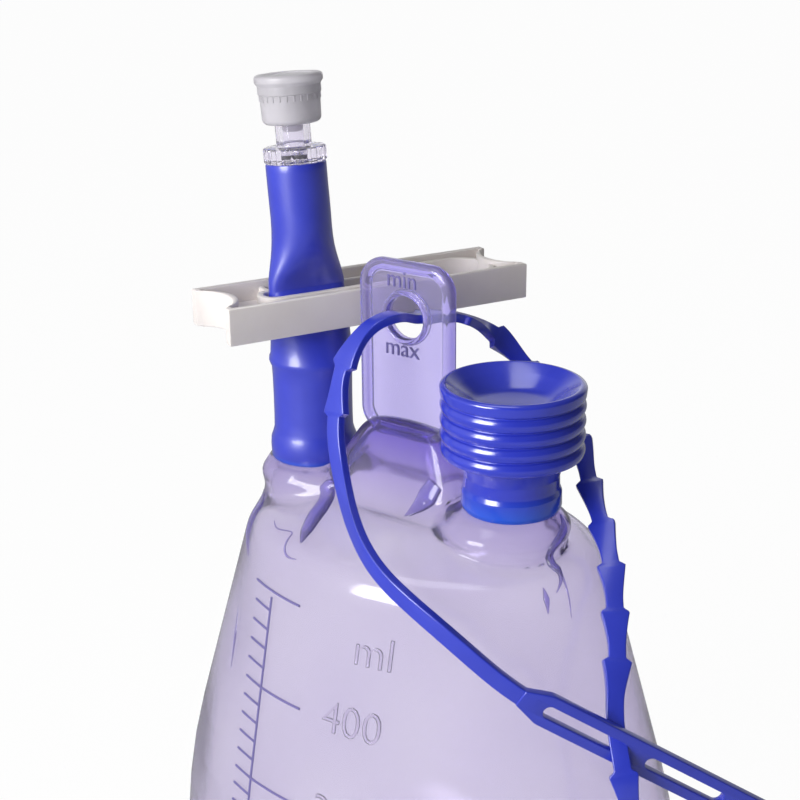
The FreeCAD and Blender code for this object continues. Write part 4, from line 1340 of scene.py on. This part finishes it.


# The strap's route as steps from the lug's hole in millimetres. It lies
# up to 1.5 mm beside the imported model's route along the front run, 2.3 mm between the hole
# and the ladder, and 7.2 mm at the tail's free end.
FRONT_RUN = [
    (-0.1, -4.6, 1.4), (-1.9, -9.8, 0.6), (-3.7, -13.6, -3.1), (-4.8, -15.7, -7.6),
    (-4.9, -17.0, -12.2), (-4.2, -18.9, -18.4), (-1.1, -21.6, -24.9), (6.2, -27.4, -31.3),
    (15.9, -32.6, -36.6), (25.7, -34.1, -41.0), (33.7, -33.2, -45.8), (40.6, -30.8, -51.4),
]
LADDER_START = (45.9, -27.8, -55.6)
LADDER_AIM = (73.0, -1.3, -80.0)
TAIL_RUN = [
    (2.6, 5.4, -0.3), (5.0, 10.4, -1.8), (7.4, 15.9, -5.2), (12.3, 19.6, -11.0),
    (18.8, 20.6, -18.0), (27.9, 17.4, -24.7), (32.7, 13.3, -30.6), (38.8, 7.9, -36.6),
    (44.4, 2.1, -42.3), (48.5, -3.6, -48.0), (52.0, -8.8, -54.3),
]
# Where the tail goes through the ladder, as steps out of its face, along it and up.
CROSSING_RUN = [
    (-2.8, 0.0, 4.0), (0.0, 0.2, 0.0), (2.8, 0.8, -4.0), (4.4, 2.2, -9.5), (5.0, 5.0, -26.0)]


@dataclass
class HangingStrap:
    """Toothed strap through the lug's hole and back through its own ladder end."""

    hole: tuple[float, float, float] = (-3.2, 1.2, 139.0)
    width: float = 3.2
    thickness: float = 1.8
    tooth_pitch: float = 9.3
    tooth_width: float = 5.4
    tooth_length: float = 7.6
    slot_lengths: tuple[float, ...] = (17.5, 17.5, 8.6)
    slot_width: float = 2.4
    rung: float = 5.0
    root: float = 2.3
    ladder_width: float = 6.4
    slot_share: float = 0.93
    front_teeth: int = 3
    tooth_rise: float = 0.7

    def tooth(self, along: np.ndarray, start: float, end: float) -> np.ndarray:
        """Width added by the teeth between two places along the strap."""
        count = int((end - start) / self.tooth_pitch)
        local = (along - start) % self.tooth_pitch
        rise = self.tooth_rise
        fall = np.clip(1 - (local - rise) / (self.tooth_length - rise), 0, 1) ** 1.5
        share = np.clip(local / rise, 0, 1) * fall
        live = (along >= start) & (along < start + count * self.tooth_pitch)
        return np.where(live, share * (self.tooth_width - self.width), 0.0)

    def build(self) -> None:
        """Sweep the band, lay the ladder at its end, and dress both as one piece."""
        hole = np.array(self.hole)
        start = hole + LADDER_START
        along = hole + LADDER_AIM - start
        along /= np.linalg.norm(along)
        viewer = np.array([0.59, -0.81, 0.0])
        out = viewer - along * (viewer @ along)
        out /= np.linalg.norm(out)
        crossing = start + along * (self.root + self.slot_lengths[0] * self.slot_share)
        points = [start + along, start, *(hole + step for step in FRONT_RUN[::-1]), hole]
        at_hole_index = len(points) - 1
        points += [hole + step for step in TAIL_RUN]
        at_crossing_index = len(points) + 1
        points += [crossing + out * step + along * slip + np.array([0, 0, rise])
                   for step, slip, rise in CROSSING_RUN]
        per_run = 24
        path = smooth_path(np.array(points, float), per_run)
        steps = np.concatenate([[0], np.cumsum(np.linalg.norm(np.diff(path, axis=0), axis=1))])
        at_hole, at_crossing = steps[at_hole_index * per_run], steps[at_crossing_index * per_run]
        total = steps[-1]
        places = np.linspace(0, total, int(total / 0.35))
        centre = np.stack([np.interp(places, steps, path[:, axis]) for axis in range(3)], 1)
        way = unit_rows(np.gradient(centre, axis=0))
        up = np.array([0.0, 0.0, 1.0])
        faces = [
            (0.0, out), (at_hole * 0.45, (0.15, -0.97, -0.18)), (at_hole * 0.76, (-0.17, -0.95, 0.23)),
            (at_hole * 0.85, (-0.03, -0.73, 0.68)), (at_hole * 0.9, (0.0, -0.2, 0.98)), (at_hole, up),
            (at_hole + 12.0, up), (at_hole + 32.0, viewer), (total, viewer)]
        keys = np.array([key for key, _ in faces])
        values = np.array([value for _, value in faces], float)
        face = np.stack([np.interp(places, keys, values[:, axis]) for axis in range(3)], 1)
        side = unit_rows(np.cross(way, face))
        normal = np.cross(side, way)
        first_tooth = at_hole - self.front_teeth * self.tooth_pitch - 2.0
        width = self.width + self.tooth(places, first_tooth, at_hole - self.tooth_pitch)
        width += self.tooth(places, at_hole + 1.6, at_crossing - 3.0)
        width += self.tooth(places, at_crossing + 4.4, total - 1.0)
        section = rounded_corners([
            (0.5, -0.5, 0.14), (0.5, 0.5, 0.14), (-0.5, 0.5, 0.14), (-0.5, -0.5, 0.14)], 30.0)
        rows = []
        v = section[:, 1] * self.thickness
        for index in range(len(places)):
            half = width[index] / 2 - (0.5 - np.abs(section[:, 0])) * self.thickness
            u = np.sign(section[:, 0]) * half
            rows.append(centre[index] + u[:, None] * side[index] + v[:, None] * normal[index])
        band = mesh_object("band", *skin_rows(rows), 50.0)
        piece = joined("hanging_strap_moulding", [band, self.ladder(start, along, out)])
        finish = SoftBlue(name="polyethylene_strap_blue", body="#2C3ECC", deep="#2433BC", roughness=0.3)
        dress(piece, finish.build(), "blue_strap", Body.BOTTLE, "hanging_strap")

    def ladder(self, start: np.ndarray, along: np.ndarray, out: np.ndarray) -> bpy.types.Object:
        """Flat ladder end with its open slots."""
        taper, places, length = 5.0, [], self.root
        for slot in self.slot_lengths:
            places.append(length + slot / 2)
            length += slot + self.rung
        half, wide = self.width / 2, self.ladder_width / 2
        outline = rounded_corners([
            (self.root - taper, -half), (self.root, -wide, 3.0), (length, -wide, 2.5),
            (length, wide, 2.5), (self.root, wide, 3.0), (self.root - taper, half)], 15.0)
        holes = [slot_outline(slot, self.slot_width, place)
                 for slot, place in zip(self.slot_lengths, places)]
        made = plate("ladder", [outline, *holes], -self.thickness / 2, self.thickness / 2, 0.22)
        axes = Matrix([along, np.cross(out, along), out]).transposed().to_4x4()
        made.data.transform(Matrix.Translation(Vector(start) * MM) @ axes)
        return made


@dataclass(frozen=True)
class Studio:
    """White studio: a pale floor, a soft lamp at the left, weaker fill, and the photograph's camera."""

    azimuth: float = 36.57
    elevation: float = 19.27
    roll: float = 0.53
    distance: float = 304.33
    lens: float = 68.47
    aim: tuple[float, float, float] = (-3.4, 0.0, 106.0)
    shift_right: float = -1.534
    shift_up: float = 15.586
    ambient: float = 0.2
    gloss_base: float = 0.05
    floor_share: float = 0.97
    floor_drop: float = 0.2

    def axes(self) -> tuple[Vector, Vector, Vector]:
        """Right, up and away directions of the camera before its roll."""
        a, e = math.radians(self.azimuth), math.radians(self.elevation)
        away = Vector((-math.sin(a) * math.cos(e), math.cos(a) * math.cos(e), -math.sin(e)))
        right = Vector((math.cos(a), math.sin(a), 0.0))
        return right, right.cross(away), away

    def camera(self) -> None:
        """Stand the camera where the photograph was taken."""
        right, up, away = self.axes()
        place = Vector(self.aim) + right * self.shift_right + up * self.shift_up - away * self.distance
        data = bpy.data.cameras.new("camera")
        data.lens = self.lens
        data.sensor_width = 36.0
        data.clip_start = 0.01
        made = linked("camera", data)
        turn = math.radians(self.roll)
        level = right * math.cos(turn) - up * math.sin(turn)
        upright = right * math.sin(turn) + up * math.cos(turn)
        facing = Matrix((level, upright, -away)).transposed().to_4x4()
        made.matrix_world = Matrix.Translation(place * MM) @ facing
        bpy.context.scene.camera = made

    def lamp(self, name: str, side: float, front: float, rise: float, size: float,
             strength: float) -> None:
        """Hang a square soft lamp, aimed at the bottle's top.

        Args:
            name: The lamp's name.
            side: Metres to the right of the view.
            front: Metres toward the camera.
            rise: Metres above the aim.
            size: Side of the lamp in metres.
            strength: Brightness of a white surface that squarely faces the lamp.
        """
        right, _, away = self.axes()
        level = Vector((away.x, away.y, 0)).normalized()
        target = Vector((0, 0, 0.12))
        place = target + right * side + Vector((0, 0, rise)) - level * front
        data = bpy.data.lights.new(name, "AREA")
        data.size = size
        data.energy = strength * math.pi ** 2 * (place - target).length_squared
        made = linked(name, data)
        made.location = place
        made.rotation_euler = (target - place).to_track_quat("-Z", "Y").to_euler()

    @staticmethod
    def ray_kinds(tree: bpy.types.NodeTree) -> tuple[bpy.types.NodeSocket, bpy.types.NodeSocket]:
        """One for camera and transmission rays, and one for glossy rays."""
        rays = add_node(tree, "ShaderNodeLightPath")
        seen = add_node(tree, "ShaderNodeMath", {
            0: rays.outputs["Is Camera Ray"], 1: rays.outputs["Is Transmission Ray"]}, operation="MAXIMUM")
        return seen.outputs[0], rays.outputs["Is Glossy Ray"]

    def reflected(self, tree: bpy.types.NodeTree) -> bpy.types.NodeSocket:
        """Brightness that gloss sees: white behind and at the left, dim at the right and in front."""
        place = add_node(tree, "ShaderNodeTexCoord").outputs["Generated"]
        right, _, away = self.axes()
        level = Vector((away.x, away.y, 0)).normalized()
        total = None
        for way, start, end, most in (
                (level, 0.6, 0.99, 0.8), (-right, 0.3, 0.95, 0.45),
                (Vector((0, 0, 1)), 0.5, 1.0, 0.08)):
            share = add_node(tree, "ShaderNodeVectorMath", {0: place, 1: tuple(way)},
                             operation="DOT_PRODUCT")
            ramp = add_node(tree, "ShaderNodeMapRange", {
                "Value": share.outputs["Value"], "From Min": start, "From Max": end,
                "To Min": 0.0, "To Max": most}, interpolation_type="SMOOTHSTEP").outputs["Result"]
            total = ramp if total is None else add_node(
                tree, "ShaderNodeMath", {0: total, 1: ramp}, operation="ADD").outputs[0]
        return add_node(tree, "ShaderNodeMath", {0: total, 1: self.gloss_base},
                        operation="ADD", use_clamp=True).outputs[0]

    def world(self) -> None:
        """Light the object by a dim even sky that looks white behind it."""
        world = bpy.data.worlds.new("studio")
        bpy.context.scene.world = world
        world.use_nodes = True
        tree = world.node_tree
        tree.nodes.clear()
        seen, glossy = self.ray_kinds(tree)
        lit, gloss, white = (
            add_node(tree, "ShaderNodeBackground", {"Color": (1, 1, 1, 1), "Strength": strength})
            for strength in (self.ambient, self.reflected(tree), 1.0))
        shone = add_node(tree, "ShaderNodeMixShader", {
            0: glossy, 1: lit.outputs[0], 2: gloss.outputs[0]})
        mixed = add_node(tree, "ShaderNodeMixShader", {
            0: seen, 1: shone.outputs[0], 2: white.outputs[0]})
        add_node(tree, "ShaderNodeOutputWorld", {"Surface": mixed.outputs[0]})

    def floor(self) -> None:
        """Lay a wide pale floor that keeps a faint shadow."""
        half = 4000.0
        corners = np.array([(-half, -half, 0), (half, -half, 0), (half, half, 0), (-half, half, 0)])
        made = mesh_object("floor", corners, [(0, 1, 2, 3)])
        made.location.z = -self.floor_drop * MM
        material, tree, shader = new_material("painted_board_white")
        # Painted board: matt and near white, so that it keeps only a faint shadow.
        fill(tree, shader, {"Base Color": hex_colour("#F4F4F4"), "Roughness": 0.9})
        seen, glossy = self.ray_kinds(tree)
        glow = add_node(tree, "ShaderNodeEmission", {"Color": (1, 1, 1, 1), "Strength": 1.0})
        dim = add_node(tree, "ShaderNodeEmission", {"Color": (1, 1, 1, 1), "Strength": 0.3})
        share = add_node(tree, "ShaderNodeMath", {0: seen, 1: self.floor_share}, operation="MULTIPLY")
        shone = add_node(tree, "ShaderNodeMixShader", {
            0: glossy, 1: shader.outputs[0], 2: dim.outputs[0]})
        mixed = add_node(tree, "ShaderNodeMixShader", {
            0: share.outputs[0], 1: shone.outputs[0], 2: glow.outputs[0]})
        tree.links.new(mixed.outputs[0], tree.nodes["Material Output"].inputs["Surface"])
        made.data.materials.append(material)

    def build(self) -> None:
        """Set the camera, the light and the floor."""
        bpy.context.scene.view_settings.view_transform = "Standard"
        self.camera()
        self.world()
        self.floor()
        self.lamp("key", -0.35, 0.32, 0.17, 0.25, 1.0)
        self.lamp("top", -0.1, 0.0, 0.6, 0.3, 0.16)


def main() -> None:
    """Build the sub-assemblies in order."""
    logging.basicConfig(level=logging.INFO, format="%(message)s")
    Studio().build()
    line = UpperLine()
    Bottle().build()
    InletSleeve(line).build()
    SlideClamp(line).build()
    Connector(line).build()
    Cap(line).build()
    Bellows().build()
    HangingStrap().build()


if __name__ == "__main__":
    main()
